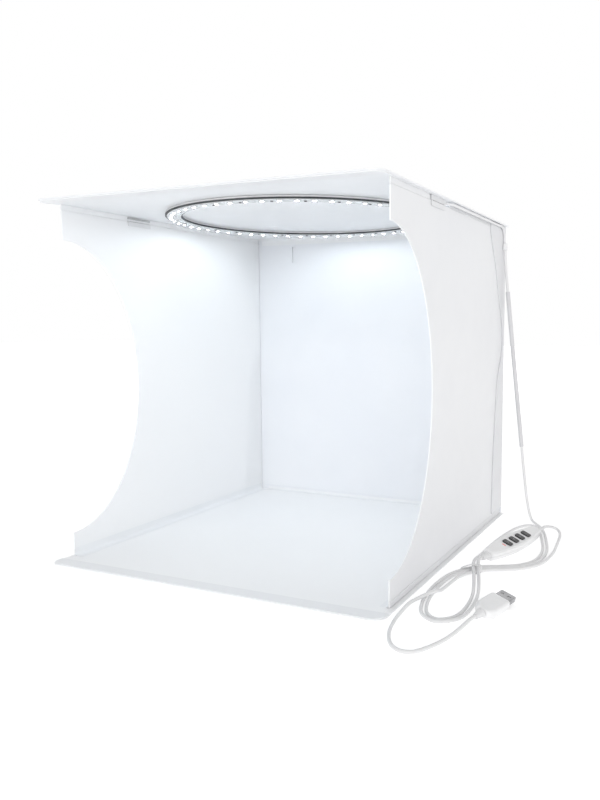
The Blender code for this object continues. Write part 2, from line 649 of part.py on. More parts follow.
def wire_path():
    """Centre line of the ring's lead: out through the rim, back under the overhang, down to the clip."""
    inside = SIDE_IN - WIRE_BEND
    outlet = WIRE_OUTLET_DEPTH
    run = WIRE_DROP_DEPTH - WIRE_BEND
    start_x, start_depth = terminal_outlet()
    points = [(start_x, start_depth), (start_x + WIRE_DIAMETER, start_depth),
              ((start_x + inside) / 2, (start_depth + outlet) / 2), (inside, outlet - WIRE_RADIUS),
              (SIDE_IN, outlet + WIRE_OUTLET_LENGTH / 3),
              (SIDE_OUT + WIRE_RADIUS, outlet + WIRE_OUTLET_LENGTH * 2 / 3),
              (WIRE_X, outlet + WIRE_OUTLET_LENGTH + WIRE_DIAMETER)]
    route = [(x, at_depth(depth), WIRE_HEIGHT) for x, depth in points]
    path = smooth_path(route, 3)
    length = run - points[-1][1]
    count = round(length / WIRE_POINT_SPACING)
    for step in range(1, count + 1):
        path.append(Vector((WIRE_X, at_depth(points[-1][1] + length * step / count), WIRE_HEIGHT)))
    for step in range(1, WIRE_BEND_STEPS + 1):
        angle = math.pi / 2 * step / WIRE_BEND_STEPS
        path.append(Vector((WIRE_X, at_depth(run + WIRE_BEND * math.sin(angle)),
                            WIRE_HEIGHT - WIRE_BEND * (1 - math.cos(angle)))))
    path.append(Vector((WIRE_X, at_depth(WIRE_DROP_DEPTH), CLIP_TOP + GAP)))
    return path


def terminal_outlet():
    """Where the lead leaves the ring's terminal: right of the middle, and depth."""
    depth = WIRE_OUTLET_DEPTH - TERMINAL_BEFORE_OUTLET
    reach = math.sqrt(RING_RADIUS ** 2 - (RING_DEPTH - depth) ** 2)
    return reach + TERMINAL_WIDTH + GAP * 2 + WIRE_RADIUS, depth


def make_lead(materials):
    outlet_x, depth = terminal_outlet()
    right = outlet_x - GAP
    front = at_depth(depth) - TERMINAL_LENGTH / 2
    terminal = block((right - TERMINAL_WIDTH, front, TAPE_TOP - TERMINAL_HEIGHT),
                     (right, front + TERMINAL_LENGTH, TAPE_TOP))
    add_piece("ring_terminal", terminal, materials["cord"], "top_hinge")
    add_cord("lead_wire", wire_path(), WIRE_DIAMETER, materials["cord"], "top_hinge")


def turn_place(index):
    """A point of the figure of eight's base turn in the world."""
    count = len(TURN_ROUTE)
    x, depth = TURN_ROUTE[index % count]
    return Vector((HALF + x * MM, at_depth(depth * MM), TURN_HEIGHTS[index % count] * MM))


def lane_place(index, lane):
    """The same point moved to the right of the way the cord runs, by a number of cord lanes."""
    ahead = turn_place(index + 1) - turn_place(index - 1)
    ahead.z = 0
    ahead.normalize()
    return turn_place(index) + Vector((ahead.y, -ahead.x, 0)) * LANE * lane


def route_place(point):
    return Vector((HALF + point[0] * MM, at_depth(point[1] * MM), point[2] * MM))


def lead_path():
    """From the clip down to the table, twice round the figure of eight and into the controller."""
    exit_place = Vector((CLIP_MIDDLE, at_depth(WIRE_DROP_DEPTH), CLIP_BOTTOM - GAP))
    route = [exit_place] + [route_place(point) for point in HANG_ROUTE]
    count = len(TURN_ROUTE)
    last = TURNS * count - LEAD_STOPS_EARLY
    for index in range(last):
        route.append(lane_place(index, index / count))
    tip = Vector((0, -CONTROLLER_LENGTH / 2 - RELIEF_LENGTH - GAP * 2, CONTROLLER_HEIGHT / 2))
    back = tip - Vector((0, CORD_DIAMETER * 2, 0))
    frame = FRAME_MATRICES["controller_frame"]
    return route + [frame @ back, frame @ tip]


def usb_path():
    """From the controller over the rear loop, down its right side, through the waist to the plug."""
    frame = FRAME_MATRICES["controller_frame"]
    tip = Vector((0, CONTROLLER_LENGTH / 2 + RELIEF_LENGTH + GAP * 2, CONTROLLER_HEIGHT / 2))
    route = [frame @ tip, frame @ (tip + Vector((0, CORD_DIAMETER * 2, 0)))]
    route += [route_place(point) for point in USB_START_ROUTE]
    for index in range(USB_TURN_FROM, USB_TURN_TO):
        route.append(lane_place(index, -1))
    route += [route_place(point) for point in USB_END_ROUTE]
    plug = FRAME_MATRICES["plug_frame"]
    neck = Vector((0, -GAP, PLUG_HEIGHT / 2))
    return route + [plug @ (neck - Vector((0, CORD_DIAMETER * 2, 0))), plug @ neck]


def sleeve_path(path):
    return [place for place in path if SLEEVE_BOTTOM < place.z < SLEEVE_TOP]


def make_cords(materials):
    hang = smooth_path(lead_path(), 2)
    usb = smooth_path(usb_path(), 2)
    add_cord("lead_cord", hang, CORD_DIAMETER, materials["cord"], "floor_frame")
    add_cord("usb_cord", usb, CORD_DIAMETER, materials["cord"], "floor_frame")
    covered = sleeve_path(hang)
    bore = CORD_DIAMETER / 2 + GAP
    outside = tube_rings(covered, bore + SLEEVE_WALL, TUBE_SIDES)
    inside = tube_rings(covered, bore, TUBE_SIDES)
    add_piece("lead_sleeve", loft(outside + inside[::-1], closed=True), materials["cord"], "floor_frame",
              smooth=True)
    fine_lead = smooth_path(lead_path(), 8)
    fine_usb = smooth_path(usb_path(), 8)
    print("lead cord length, mm:", round(path_length(fine_lead) / MM, 1))
    print("usb cord length, mm:", round(path_length(fine_usb) / MM, 1))
    print("least gap of the lead cord to itself, mm:",
          round(least_gap(fine_lead, fine_lead, CORD_DIAMETER, 24) / MM, 2))
    print("least gap of the usb cord to itself, mm:",
          round(least_gap(fine_usb, fine_usb, CORD_DIAMETER, 24) / MM, 2))
    between = least_gap(fine_lead, fine_usb, CORD_DIAMETER)
    print("least gap between the two cords, mm:", round(between / MM, 2))


def path_length(path):
    return sum((end - start).length for start, end in zip(path, path[1:]))


def make_tie(materials):
    """A flat band round the crossing strands at the waist."""
    across, depth = TIE_PLACE
    outer_width = TIE_INNER_WIDTH + TIE_THICKNESS * 2
    outer_height = TIE_INNER_HEIGHT + TIE_THICKNESS * 2
    middle = TABLE_GAP + outer_height / 2
    rings = []
    for width, height, radius, front in (
            (outer_width, outer_height, TIE_RADIUS + TIE_THICKNESS, True),
            (outer_width, outer_height, TIE_RADIUS + TIE_THICKNESS, False),
            (TIE_INNER_WIDTH, TIE_INNER_HEIGHT, TIE_RADIUS, False),
            (TIE_INNER_WIDTH, TIE_INNER_HEIGHT, TIE_RADIUS, True)):
        y = at_depth(depth) + TIE_WIDTH / 2 * (-1 if front else 1)
        section = rounded_rectangle(width, height, radius)
        rings.append([(HALF + across + x, y, middle + z) for x, z in section])
    add_piece("cord_tie", loft(rings, closed=True), materials["tie"], "floor_frame", smooth=True)


def controller_outline(inset):
    """Boat-shaped plan outline of the controller, drawn in by an inset."""
    half_length = CONTROLLER_LENGTH / 2 - inset
    points = []
    for side in (1, -1):
        for step in range(CONTROLLER_STEPS + 1):
            along = side * half_length * (2 * step / CONTROLLER_STEPS - 1)
            share = min(abs(along) / (CONTROLLER_LENGTH / 2), 1.0)
            bulge = (CONTROLLER_WIDTH - CONTROLLER_END_WIDTH) / 2 * (1 - share ** 2)
            points.append((side * (CONTROLLER_END_WIDTH / 2 + bulge - inset), along))
    return points


def ring_at(outline, height):
    return [(x, y, height) for x, y in outline]


def make_controller(materials):
    body = controller_outline(0)
    chamfered = controller_outline(CONTROLLER_CHAMFER)
    inner = controller_outline(CONTROLLER_WALL)
    ledge = controller_outline(CONTROLLER_WALL + CONTROLLER_LEDGE)
    base = loft([ring_at(chamfered, 0), ring_at(body, CONTROLLER_CHAMFER), ring_at(body, CONTROLLER_SPLIT),
                 ring_at(inner, CONTROLLER_SPLIT), ring_at(inner, CONTROLLER_LEDGE_HEIGHT),
                 ring_at(ledge, CONTROLLER_LEDGE_HEIGHT), ring_at(ledge, CONTROLLER_WALL)])
    add_piece("controller_base", base, materials["shell"], "controller_frame", local=True, smooth=True)
    top = CONTROLLER_HEIGHT
    cover = loft([ring_at(chamfered, top), ring_at(body, top - CONTROLLER_CHAMFER),
                  ring_at(body, CONTROLLER_SPLIT + GAP), ring_at(inner, CONTROLLER_SPLIT + GAP),
                  ring_at(inner, top - CONTROLLER_WALL)])
    cover = add_piece("controller_cover", cover, materials["shell"], "controller_frame",
                      local=True, smooth=True)
    circuit = controller_outline(CONTROLLER_WALL + GAP)
    board = loft([ring_at(circuit, CIRCUIT_TOP - CIRCUIT_THICKNESS), ring_at(circuit, CIRCUIT_TOP)])
    add_piece("controller_board", board, materials["circuit"], "controller_frame", local=True)
    switch_bottom = CIRCUIT_TOP + GAP
    holes = []
    for index, name in enumerate(BUTTON_NAMES):
        along = BUTTON_FIRST + BUTTON_PITCH * index
        low = (BUTTON_ACROSS - SWITCH_SIZE / 2, along - SWITCH_SIZE / 2, switch_bottom)
        high = (BUTTON_ACROSS + SWITCH_SIZE / 2, along + SWITCH_SIZE / 2, SWITCH_TOP)
        switch = name.replace("button", "switch")
        add_piece(switch, block(low, high), materials["button"], "controller_frame",
                  local=True)
        hole = button_outline(along, GAP)
        hole = loft([ring_at(hole, top - CONTROLLER_WALL - OVERRUN), ring_at(hole, top + OVERRUN)])
        holes.append(add_piece(f"{name}_hole", hole, materials["shell"], "controller_frame", local=True))
        make_button(name, along, materials)
    along = BUTTON_FIRST - INDICATOR_FROM_BUTTON
    window = rounded_rectangle(INDICATOR_WIDTH, INDICATOR_LENGTH, INDICATOR_LENGTH / 3)
    lens = [(x + BUTTON_ACROSS, y + along) for x, y in window]
    window = rounded_rectangle(INDICATOR_WIDTH + GAP * 2, INDICATOR_LENGTH + GAP * 2, INDICATOR_LENGTH / 3)
    opening = [(x + BUTTON_ACROSS, y + along) for x, y in window]
    lens = loft([ring_at(lens, switch_bottom), ring_at(lens, top)])
    add_piece("controller_indicator", lens, materials["indicator"], "controller_frame", local=True)
    opening = loft([ring_at(opening, top - CONTROLLER_WALL - OVERRUN), ring_at(opening, top + OVERRUN)])
    holes.append(add_piece("indicator_hole", opening, materials["shell"], "controller_frame", local=True))
    boolean(cover, holes, "DIFFERENCE")
    for name, end in (("controller_relief_in", -1), ("controller_relief_out", 1)):
        start = end * (CONTROLLER_LENGTH / 2 + GAP)
        relief = round_loft([(RELIEF_WIDE, start), (RELIEF_NARROW, start + end * RELIEF_LENGTH)],
                            CONTROLLER_HEIGHT / 2)
        add_piece(name, relief, materials["cord"], "controller_frame", local=True, smooth=True)


def button_outline(along, spread):
    """Plan outline of a button, or of its hole when spread by the clearance."""
    outline = rounded_rectangle(BUTTON_WIDTH + spread * 2, BUTTON_LENGTH + spread * 2,
                                BUTTON_RADIUS + spread)
    return [(x + BUTTON_ACROSS, y + along) for x, y in outline]


def make_button(name, along, materials):
    """A cap with a flange that stays under the cover."""
    under = BUTTON_BOTTOM + BUTTON_FLANGE
    crown = CONTROLLER_HEIGHT + BUTTON_PROUD
    flange = button_outline(along, BUTTON_FLANGE)
    cap = button_outline(along, 0)
    crowned = button_outline(along, -BUTTON_CHAMFER)
    centre = Matrix.Translation((BUTTON_ACROSS, along, crown))
    FRAME_MATRICES[f"{name}_frame"] = FRAME_MATRICES["controller_frame"] @ centre
    FRAMES[f"{name}_frame"] = make_frame(f"{name}_frame", FRAME_MATRICES[f"{name}_frame"])
    button = loft([ring_at(flange, BUTTON_BOTTOM), ring_at(flange, under), ring_at(cap, under),
                   ring_at(cap, crown - BUTTON_CHAMFER), ring_at(crowned, crown)])
    bmesh.ops.transform(button, matrix=centre.inverted(), verts=button.verts)
    add_piece(name, button, materials["button"], f"{name}_frame", local=True, smooth=True)


def round_loft(sections, height):
    """A round tapered piece along its own Y, from pairs of diameter and place."""
    rings = []
    for diameter, along in sections:
        ring = []
        for step in range(RELIEF_SIDES):
            angle = 2 * math.pi * step / RELIEF_SIDES
            ring.append((diameter / 2 * math.cos(angle), along, height + diameter / 2 * math.sin(angle)))
        rings.append(ring)
    return loft(rings)


def section_ring(width, height, radius, along):
    return [(x, along, PLUG_HEIGHT / 2 + z) for x, z in rounded_rectangle(width, height, radius)]


def make_plug(materials):
    frame = "plug_frame"
    relief = round_loft([(RELIEF_NARROW, 0), (RELIEF_WIDE, PLUG_RELIEF_LENGTH)], PLUG_HEIGHT / 2)
    add_piece("plug_relief", relief, materials["cord"], frame, local=True, smooth=True)
    start = PLUG_RELIEF_LENGTH + GAP
    end = start + PLUG_LENGTH
    neck = (PLUG_WIDTH - PLUG_NECK_TAPER * 2, PLUG_HEIGHT - PLUG_NECK_STEP * 2)
    sections = [(*neck, start), (PLUG_WIDTH, PLUG_HEIGHT, start + PLUG_SHOULDER),
                (PLUG_WIDTH, PLUG_HEIGHT, end - PLUG_RADIUS / 2),
                (PLUG_WIDTH - PLUG_RADIUS / 2, PLUG_HEIGHT - PLUG_RADIUS / 2, end)]
    body = loft([section_ring(width, height, PLUG_RADIUS, along) for width, height, along in sections])
    add_piece("plug_body", body, materials["shell"], frame, local=True, smooth=True)
    rear = end + GAP
    front = rear + SHELL_LENGTH
    inner = (SHELL_WIDTH - SHELL_WALL * 2, SHELL_HEIGHT - SHELL_WALL * 2, SHELL_RADIUS - SHELL_WALL)
    shell = loft([section_ring(SHELL_WIDTH, SHELL_HEIGHT, SHELL_RADIUS, rear),
                  section_ring(SHELL_WIDTH, SHELL_HEIGHT, SHELL_RADIUS, front),
                  section_ring(*inner, front), section_ring(*inner, rear + SHELL_WALL)])
    shell = add_piece("plug_shell", shell, materials["steel"], frame, local=True)
    holes = []
    for side, sign in (("left", -1), ("right", 1)):
        middle = sign * SHELL_HOLE_APART / 2
        along = front - SHELL_HOLE_FROM_FRONT
        low = (middle - SHELL_HOLE / 2, along - SHELL_HOLE / 2, -OVERRUN)
        high = (middle + SHELL_HOLE / 2, along + SHELL_HOLE / 2, PLUG_HEIGHT + OVERRUN)
        hole = block(low, high)
        holes.append(add_piece(f"{side}_shell_hole", hole, materials["steel"], frame, local=True))
    boolean(shell, holes, "DIFFERENCE")
    ceiling = PLUG_HEIGHT / 2 + SHELL_HEIGHT / 2 - SHELL_WALL - GAP
    half = SHELL_WIDTH / 2 - SHELL_WALL - GAP
    tongue_rear = rear + SHELL_WALL + GAP
    tongue_front = front - TONGUE_SETBACK
    tongue = block((-half, tongue_rear, ceiling - TONGUE_THICKNESS), (half, tongue_front, ceiling))
    add_piece("plug_tongue", tongue, materials["tongue"], frame, local=True)
    contact_top = ceiling - TONGUE_THICKNESS - GAP
    for index in range(CONTACT_COUNT):
        middle = CONTACT_PITCH * (index - (CONTACT_COUNT - 1) / 2)
        low = (middle - CONTACT_WIDTH / 2, tongue_rear + CONTACT_SETBACK, contact_top - CONTACT_THICKNESS)
        high = (middle + CONTACT_WIDTH / 2, tongue_front, contact_top)
        add_piece(f"plug_contact_{index + 1}", block(low, high), materials["brass"], frame, local=True)


def make_materials():
    return {
        "sheet": make_material("white translucent sheet", (0.86, 0.87, 0.89), 0.45),
        "hem": make_material("sheet hem", (0.82, 0.83, 0.85), 0.5),
        "steel": make_material("bright steel", (0.62, 0.62, 0.63), 0.3, 1.0),
        "magnet": make_material("magnet", (0.18, 0.18, 0.2), 0.4, 0.6),
        "board": make_material("white board", (0.85, 0.86, 0.86), 0.4),
        "led": make_material("led package", (0.95, 0.96, 0.9), 0.25),
        "foam": make_material("foam pad", (0.8, 0.8, 0.8), 0.9),
        "cord": make_material("grey white cord", (0.74, 0.74, 0.75), 0.5),
        "tie": make_material("white tie", (0.85, 0.85, 0.85), 0.45),
        "shell": make_material("white moulding", (0.8, 0.8, 0.81), 0.4),
        "circuit": make_material("circuit board", (0.1, 0.3, 0.15), 0.5),
        "button": make_material("black button", (0.03, 0.03, 0.03), 0.45),
        "indicator": make_material("indicator lens", (0.7, 0.12, 0.12), 0.3),
        "tongue": make_material("plug tongue", (0.8, 0.8, 0.8), 0.5),
        "brass": make_material("contact metal", (0.8, 0.6, 0.3), 0.3, 1.0),
    }


clear_scene()
FRAMES = {name: make_frame(name, matrix) for name, matrix in FRAME_MATRICES.items()}
MATERIALS = make_materials()
make_floor(MATERIALS)
make_side("left", -1, MATERIALS)
make_side("right", 1, MATERIALS)
make_back(MATERIALS)
make_top(MATERIALS)
make_ring(MATERIALS)
make_lead(MATERIALS)
make_cords(MATERIALS)
make_tie(MATERIALS)
make_controller(MATERIALS)
make_plug(MATERIALS)
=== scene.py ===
"""The looks of a folding light tent cube: white translucent sheets, a ring light hung under the top,
and a USB lead with an inline dimmer. Metres, +Z up, the opening faces -Y."""
import math

import bmesh
import bpy
from mathutils import Matrix, Vector, geometry


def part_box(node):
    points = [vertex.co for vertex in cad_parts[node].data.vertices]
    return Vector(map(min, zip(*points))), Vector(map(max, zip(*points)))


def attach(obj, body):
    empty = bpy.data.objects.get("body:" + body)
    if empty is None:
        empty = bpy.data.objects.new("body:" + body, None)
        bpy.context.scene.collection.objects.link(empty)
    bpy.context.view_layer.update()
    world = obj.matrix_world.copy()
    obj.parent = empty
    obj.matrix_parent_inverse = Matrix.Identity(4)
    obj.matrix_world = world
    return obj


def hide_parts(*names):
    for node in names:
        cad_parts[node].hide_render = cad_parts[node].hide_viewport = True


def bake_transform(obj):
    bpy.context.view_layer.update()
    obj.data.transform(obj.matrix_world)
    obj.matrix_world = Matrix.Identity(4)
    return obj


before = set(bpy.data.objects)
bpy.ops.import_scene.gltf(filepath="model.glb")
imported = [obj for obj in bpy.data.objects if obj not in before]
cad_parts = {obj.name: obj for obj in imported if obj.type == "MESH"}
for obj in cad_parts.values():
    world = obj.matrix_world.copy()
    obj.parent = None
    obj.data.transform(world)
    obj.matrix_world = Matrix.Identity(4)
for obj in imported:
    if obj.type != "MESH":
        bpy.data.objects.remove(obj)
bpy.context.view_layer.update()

MM = 0.001
GAP = 0.3 * MM
MERGE_DISTANCE = 0.005 * MM
SHARP_ANGLE = math.radians(32)
CORD_SHARP_ANGLE = math.radians(50)
FLAT_ANGLE = math.radians(1)

FLOOR_LOW, FLOOR_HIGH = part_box("floor_panel")
WALL_LOW, WALL_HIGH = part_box("right_panel")
BACK_LOW, BACK_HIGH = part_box("back_panel")
TOP_LOW, TOP_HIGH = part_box("top_panel")
BOARD_LOW, BOARD_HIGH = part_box("ring_board")
HALF = FLOOR_HIGH.x
FRONT = WALL_LOW.y
SIDE_IN = WALL_LOW.x
SIDE_OUT = WALL_HIGH.x
SHEET = FLOOR_HIGH.z
CEILING = TOP_HIGH.z - SHEET
RING_MIDDLE = (BOARD_LOW + BOARD_HIGH) / 2
RING_RADIUS = (BOARD_HIGH.x - BOARD_LOW.x) / 2
RING_BAND = 15 * MM
SIDES = (("left", -1), ("right", 1))

# Sheets: edges, folds, hems and seams
SOFT_EDGE = 0.25 * MM
THIN_EDGE = 0.2 * MM
REAR_EDGE = 0.55 * MM
CORNER_RADIUS = 10 * MM
FLAP_RADIUS = 6 * MM
HEM_INSET = 0.6 * MM
HEM_WIDTH = 13.5 * MM
HEM_WELDS = (3 * MM, 12 * MM)
LIP_FOLD = 14.6 * MM
WALL_FOLD = 5 * MM
FLOOR_FOLD = 1.5 * MM
SCORE_WIDTH = 0.7 * MM
WELD = 0.05 * MM
OUTSIDE_BAND = 0.2 * MM
FILM_THICKNESS = 0.15 * MM

# Width and segments of the rounded edges of the pieces that keep their CAD shape
NODE_EDGES = {
    "keeper": (0.15 * MM, 2), "magnet": (0.3 * MM, 2), "clip": (0.9 * MM, 4), "terminal": (0.4 * MM, 3),
    "controller": (0.2 * MM, 2), "crown": (1.1 * MM, 5), "plug": (0.5 * MM, 2), "plug shell": (0.12 * MM, 2),
}

# D-shaped cut of the walls, catches, rims and hang slits
CUT_DEPTH = 86 * MM
CUT_BOTTOM = 22 * MM
CUT_TOP = 270 * MM
CUT_STEPS = 96
CATCH = (77.95 * MM, 108.05 * MM)
KEEPER_NOTCH = 0.9 * MM
WALL_CORNER = 1.5 * MM
RIM_LENGTH = 297 * MM
RIM_ROOT = 0.6 * MM
RIM_FOOT = 0.06 * MM
POCKET_OVERLAP = 1 * MM
POCKET_THICKNESS = 0.2 * MM
INNER_POCKET_HEIGHT = 1.6 * MM
WIRE_OUTLET = (113 * MM, 125 * MM)
SLIT_HALF = 2.75 * MM
SLIT_MIDDLE = 99 * MM
SLIT_HEIGHTS = (271 * MM, 289 * MM)

# Ring light
RING_STEPS = 144
LED_COUNT = 56
LED_SIZE = (2.8 * MM, 3.5 * MM, 0.85 * MM)
LED_REACH = RING_RADIUS - 5 * MM
LED_EDGE = 0.15 * MM
LED_WINDOW_FRAME = 0.2 * MM
LED_WINDOW_SLOPE = 0.1 * MM
LED_WINDOW_DEPTH = 0.12 * MM
SOLDER_FOOT = (1.9 * MM, 0.7 * MM, 0.24 * MM)
FOOT_FROM_LED = 0.25 * MM
SOLDER_EDGE = 0.08 * MM
CHIP_COUNT = 28
CHIP_REACH = RING_RADIUS - 9.2 * MM
CHIP_SIZE = (1.5 * MM, 1.9 * MM, 0.55 * MM)
CHIP_END = (1.55 * MM, 0.5 * MM, 0.6 * MM)
CHIP_END_PLACE = 1.15 * MM
CHIP_EDGE = 0.08 * MM
CHIP_END_EDGE = 0.1 * MM
TAPE_EDGE = 0.15 * MM
BOARD_EDGE = 0.12 * MM
STRIP_EDGE = 0.06 * MM
TAPE_INSET = 0.4 * MM
STRIP_INSET = 1.5 * MM
STRIP_WIDTH = 12 * MM
STRIP_THICKNESS = 0.3 * MM
TRACK_INSETS = (2.6 * MM, 7.6 * MM, 11.8 * MM)
TRACK_HALVES = (0.5 * MM, 0.7 * MM)

# Cord routes in millimetres right of the floor sheet's edge, behind the walls' front edges and up
CORD_DIAMETER = 2.8 * MM
LANE = 3.8 * MM
CORD_SAMPLES = 8
CORD_ROUNDNESS = 5
SLEEVE_DIAMETER = CORD_DIAMETER + 1.4 * MM
WIRE_DIAMETER = 2.2 * MM
STRAIGHT_END = Vector((0, CORD_DIAMETER * 2, 0))
LEAD_EXIT = (-0.4, 290, 274.2)
HANG_ROUTE = [
    (-0.1, 290, 266), (1.2, 289.5, 250), (5.6, 287.6, 212), (11, 285, 168),
    (16.6, 282.2, 124), (22, 279.6, 82), (27, 277, 44), (31, 274.6, 20),
    (35.5, 271.4, 6), (41.2, 266, 2.6),
]
TURN_ROUTE = [
    (48, 257), (55, 240), (62.5, 214), (69, 186), (71, 163), (68, 144),
    (59, 129), (45.5, 119.5), (33.5, 110.5), (23.5, 98.5), (16.5, 82), (14, 62),
    (15, 40), (18.5, 20), (24.5, 4), (32.5, -2.5), (39.6, 4), (42, 21),
    (39.6, 47), (32, 75), (24.5, 98.5), (19, 120), (16.5, 148), (16.8, 180),
    (18.5, 210), (22, 238), (28, 256), (38, 264),
]
TURN_HEIGHTS = [
    1.6, 1.6, 1.6, 1.6, 1.6, 1.6, 1.6, 1.6, 2.3, 2.8, 2.3, 1.6, 1.6, 1.6, 1.6, 1.6, 1.6, 1.6,
    2.9, 6.2, 6.4, 5.2, 1.7, 1.6, 1.6, 1.6, 1.6, 1.6,
]
LEAD_LAST_TURN_POINT = 49
USB_START_ROUTE = [
    (54.6, 240, 7), (58, 248, 5.8), (63.5, 251.6, 4), (68.4, 246.5, 1.9), (71.4, 232, 1.6),
    (73.6, 208, 1.6), (75.2, 184, 1.6),
]
USB_TURN_POINTS = (4, 12)
USB_END_ROUTE = [
    (17.4, 47, 2.6), (15.4, 36, 5), (11.4, 22, 5.2), (7.6, 8, 4.6), (6.2, -6, 2),
    (7.4, -20, 1.6), (11.6, -38, 1.6), (18.6, -53, 1.6), (27.6, -60.6, 1.6),
    (36.6, -59, 1.6), (43.6, -47, 1.6), (48.6, -33, 1.7), (52.4, -19, 3),
]
# The lamp's wire: right of the middle and behind the walls' front edges, then down at the rear
WIRE_ROUTE = [
    (118.97, 106), (121.2, 106), (128, 109), (133.8, 111.9), (140.3, 114.5), (146.3, 117.2),
    (149.2, 120.8), (150.5, 126), (150.7, 132), (150.7, 138),
]
WIRE_X = 150.7 * MM
WIRE_DROP = FRONT + 290 * MM
WIRE_HEIGHT = 296.8 * MM
WIRE_END = 281.8 * MM
WIRE_BEND = 13 * MM
WIRE_BEND_STEPS = 12
# Sleeve and tie
SLEEVE_HEIGHTS = (72 * MM, 236 * MM)
TIE_SLACK = 0.2 * MM
TIE_THICKNESS = 0.5 * MM
TIE_STEPS = 16

# Controller and plug: their own Y runs along them, from the lead's end
CONTROLLER_PLACE = (39.0, 177.0)
CONTROLLER_HEADING = math.radians(13.5)
CONTROLLER_ROLL = math.radians(20)
CONTROLLER_LENGTH = 92.1 * MM
CONTROLLER_WIDTH = 18 * MM
CONTROLLER_HEIGHT = 9 * MM
CONTROLLER_CHAMFER = 1.2 * MM
CROWN_ABOVE = 7 * MM
CROWN_EDGE_LENGTH = 9 * MM
BUTTON_ALONG = (-15.45 * MM, -3.95 * MM, 7.55 * MM, 19.05 * MM)
BUTTON_ACROSS = 1 * MM
BUTTON_PROUD = 1 * MM
BUTTON_NAMES = ("power", "colour", "brighter", "dimmer")
KEY_HEAD = (9 * MM, 6.4 * MM, 0.4 * MM)
KEY_STEM = (8 * MM, 6 * MM, 2.2 * MM)
HEAD_ROUNDINGS = (1.6 * MM, 0.2 * MM)
STEM_ROUNDINGS = (1.4 * MM, 0.1 * MM)
STEM_MIDDLE = -1.5 * MM
SIGN_STROKE = 0.35 * MM
SIGN_RING_STROKE = 0.3 * MM
SIGN_BAR = 2.2 * MM
SIGN_HEIGHT = 0.1 * MM
SIGN_LEVEL = -0.02 * MM
RELIEF_LENGTH = 9 * MM
RELIEF_WIDTHS = (6.6 * MM, 4.4 * MM)
RELIEF_ROUNDINGS = (0.3 * MM, 0.2 * MM)
RELIEF_GROOVE = 0.4 * MM
RELIEF_RIBS = 4
RELIEF_STEPS = 28
PLUG_RELIEF_LENGTH = 8 * MM
PLUG_PLACE = (56.5, 2.0)
PLUG_HEADING = math.radians(13)
PLUG_ROLL = math.radians(16)
PLUG_WIDTH = 16 * MM
PLUG_HEIGHT = 8 * MM
PLUG_RADIUS = 2.2 * MM
TABLE_GAP = 0.1 * MM


def place_at(right, depth, height):
    """World place of a route's millimetres."""
    return Vector((HALF + right * MM, FRONT + depth * MM, height * MM))


def lying_frame(place, heading, roll, drop):
    """Axes of a small assembly that lies on the table, rolled onto its right edge."""
    ground = Matrix.Translation(place_at(*place, 0) + Vector((0, 0, drop + TABLE_GAP)))
    return ground @ Matrix.Rotation(-heading, 4, "Z") @ Matrix.Rotation(roll, 4, "Y")


CONTROLLER_FRAME = lying_frame(CONTROLLER_PLACE, CONTROLLER_HEADING, CONTROLLER_ROLL,
                               (CONTROLLER_WIDTH / 2 - CONTROLLER_CHAMFER) * math.sin(CONTROLLER_ROLL))
PLUG_FRAME = lying_frame(PLUG_PLACE, PLUG_HEADING, PLUG_ROLL,
                         (PLUG_WIDTH / 2 - PLUG_RADIUS) * math.sin(PLUG_ROLL)
                         + PLUG_RADIUS * (1 - math.cos(PLUG_ROLL)))


# Camera
def set_camera():
    camera = show("camera", bpy.data.cameras.new("camera"))
    camera.location = (0.34855, -0.61441, 0.20157)
    camera.rotation_euler = (math.radians(90 - 5.8), 0, math.radians(24.39))
    camera.data.lens = 34.13
    camera.data.shift_x = -0.0877
    camera.data.clip_start = 0.01
    bpy.context.scene.camera = camera


# Node materials
def surface(material):
    return material.node_tree.nodes["Principled BSDF"]


def set_inputs(node, values):
    for name, value in values.items():
        node.inputs[name].default_value = value


def new_material(name, colour, roughness, metallic=0.0, **extra):
    """A principled material with plain values on its sockets, to be given its detail."""
    material = bpy.data.materials.new(name)
    material.use_nodes = True
    material.diffuse_color = (*colour, 1)
    set_inputs(surface(material), {"Base Color": (*colour, 1), "Roughness": roughness, "Metallic": metallic})
    set_inputs(surface(material), {socket.replace("_", " "): value for socket, value in extra.items()})
    return material


def add_node(owner, kind, **values):
    """A new node of a material or of the world."""
    node = owner.node_tree.nodes.new(kind)
    for name, value in values.items():
        setattr(node, name, value)
    return node


def join(owner, start, end):
    owner.node_tree.links.new(start, end)


def object_place(material):
    return add_node(material, "ShaderNodeTexCoord").outputs["Object"]


def cloud(material, scale, detail=2.0, roughness=0.5, stretch=(1, 1, 1)):
    mapping = add_node(material, "ShaderNodeMapping")
    mapping.inputs["Scale"].default_value = stretch
    join(material, object_place(material), mapping.inputs["Vector"])
    texture = add_node(material, "ShaderNodeTexNoise")
    set_inputs(texture, {"Scale": scale, "Detail": detail, "Roughness": roughness})
    join(material, mapping.outputs["Vector"], texture.inputs["Vector"])
    return texture.outputs["Fac"]


def bands(material, direction, scale, distortion=0.0):
    texture = add_node(material, "ShaderNodeTexWave", wave_type="BANDS", bands_direction=direction)
    set_inputs(texture, {"Scale": scale, "Distortion": distortion})
    join(material, object_place(material), texture.inputs["Vector"])
    return texture.outputs["Fac"]


def remap(owner, value, start, end, low, high):
    ramp = add_node(owner, "ShaderNodeMapRange")
    set_inputs(ramp, {"From Min": start, "From Max": end, "To Min": low, "To Max": high})
    join(owner, value, ramp.inputs["Value"])
    return ramp.outputs["Result"]


def arithmetic(owner, operation, first, second=0):
    node = add_node(owner, "ShaderNodeMath", operation=operation)
    for socket, value in zip(node.inputs, (first, second)):
        if isinstance(value, (int, float)):
            socket.default_value = value
        else:
            join(owner, value, socket)
    return node.outputs["Value"]


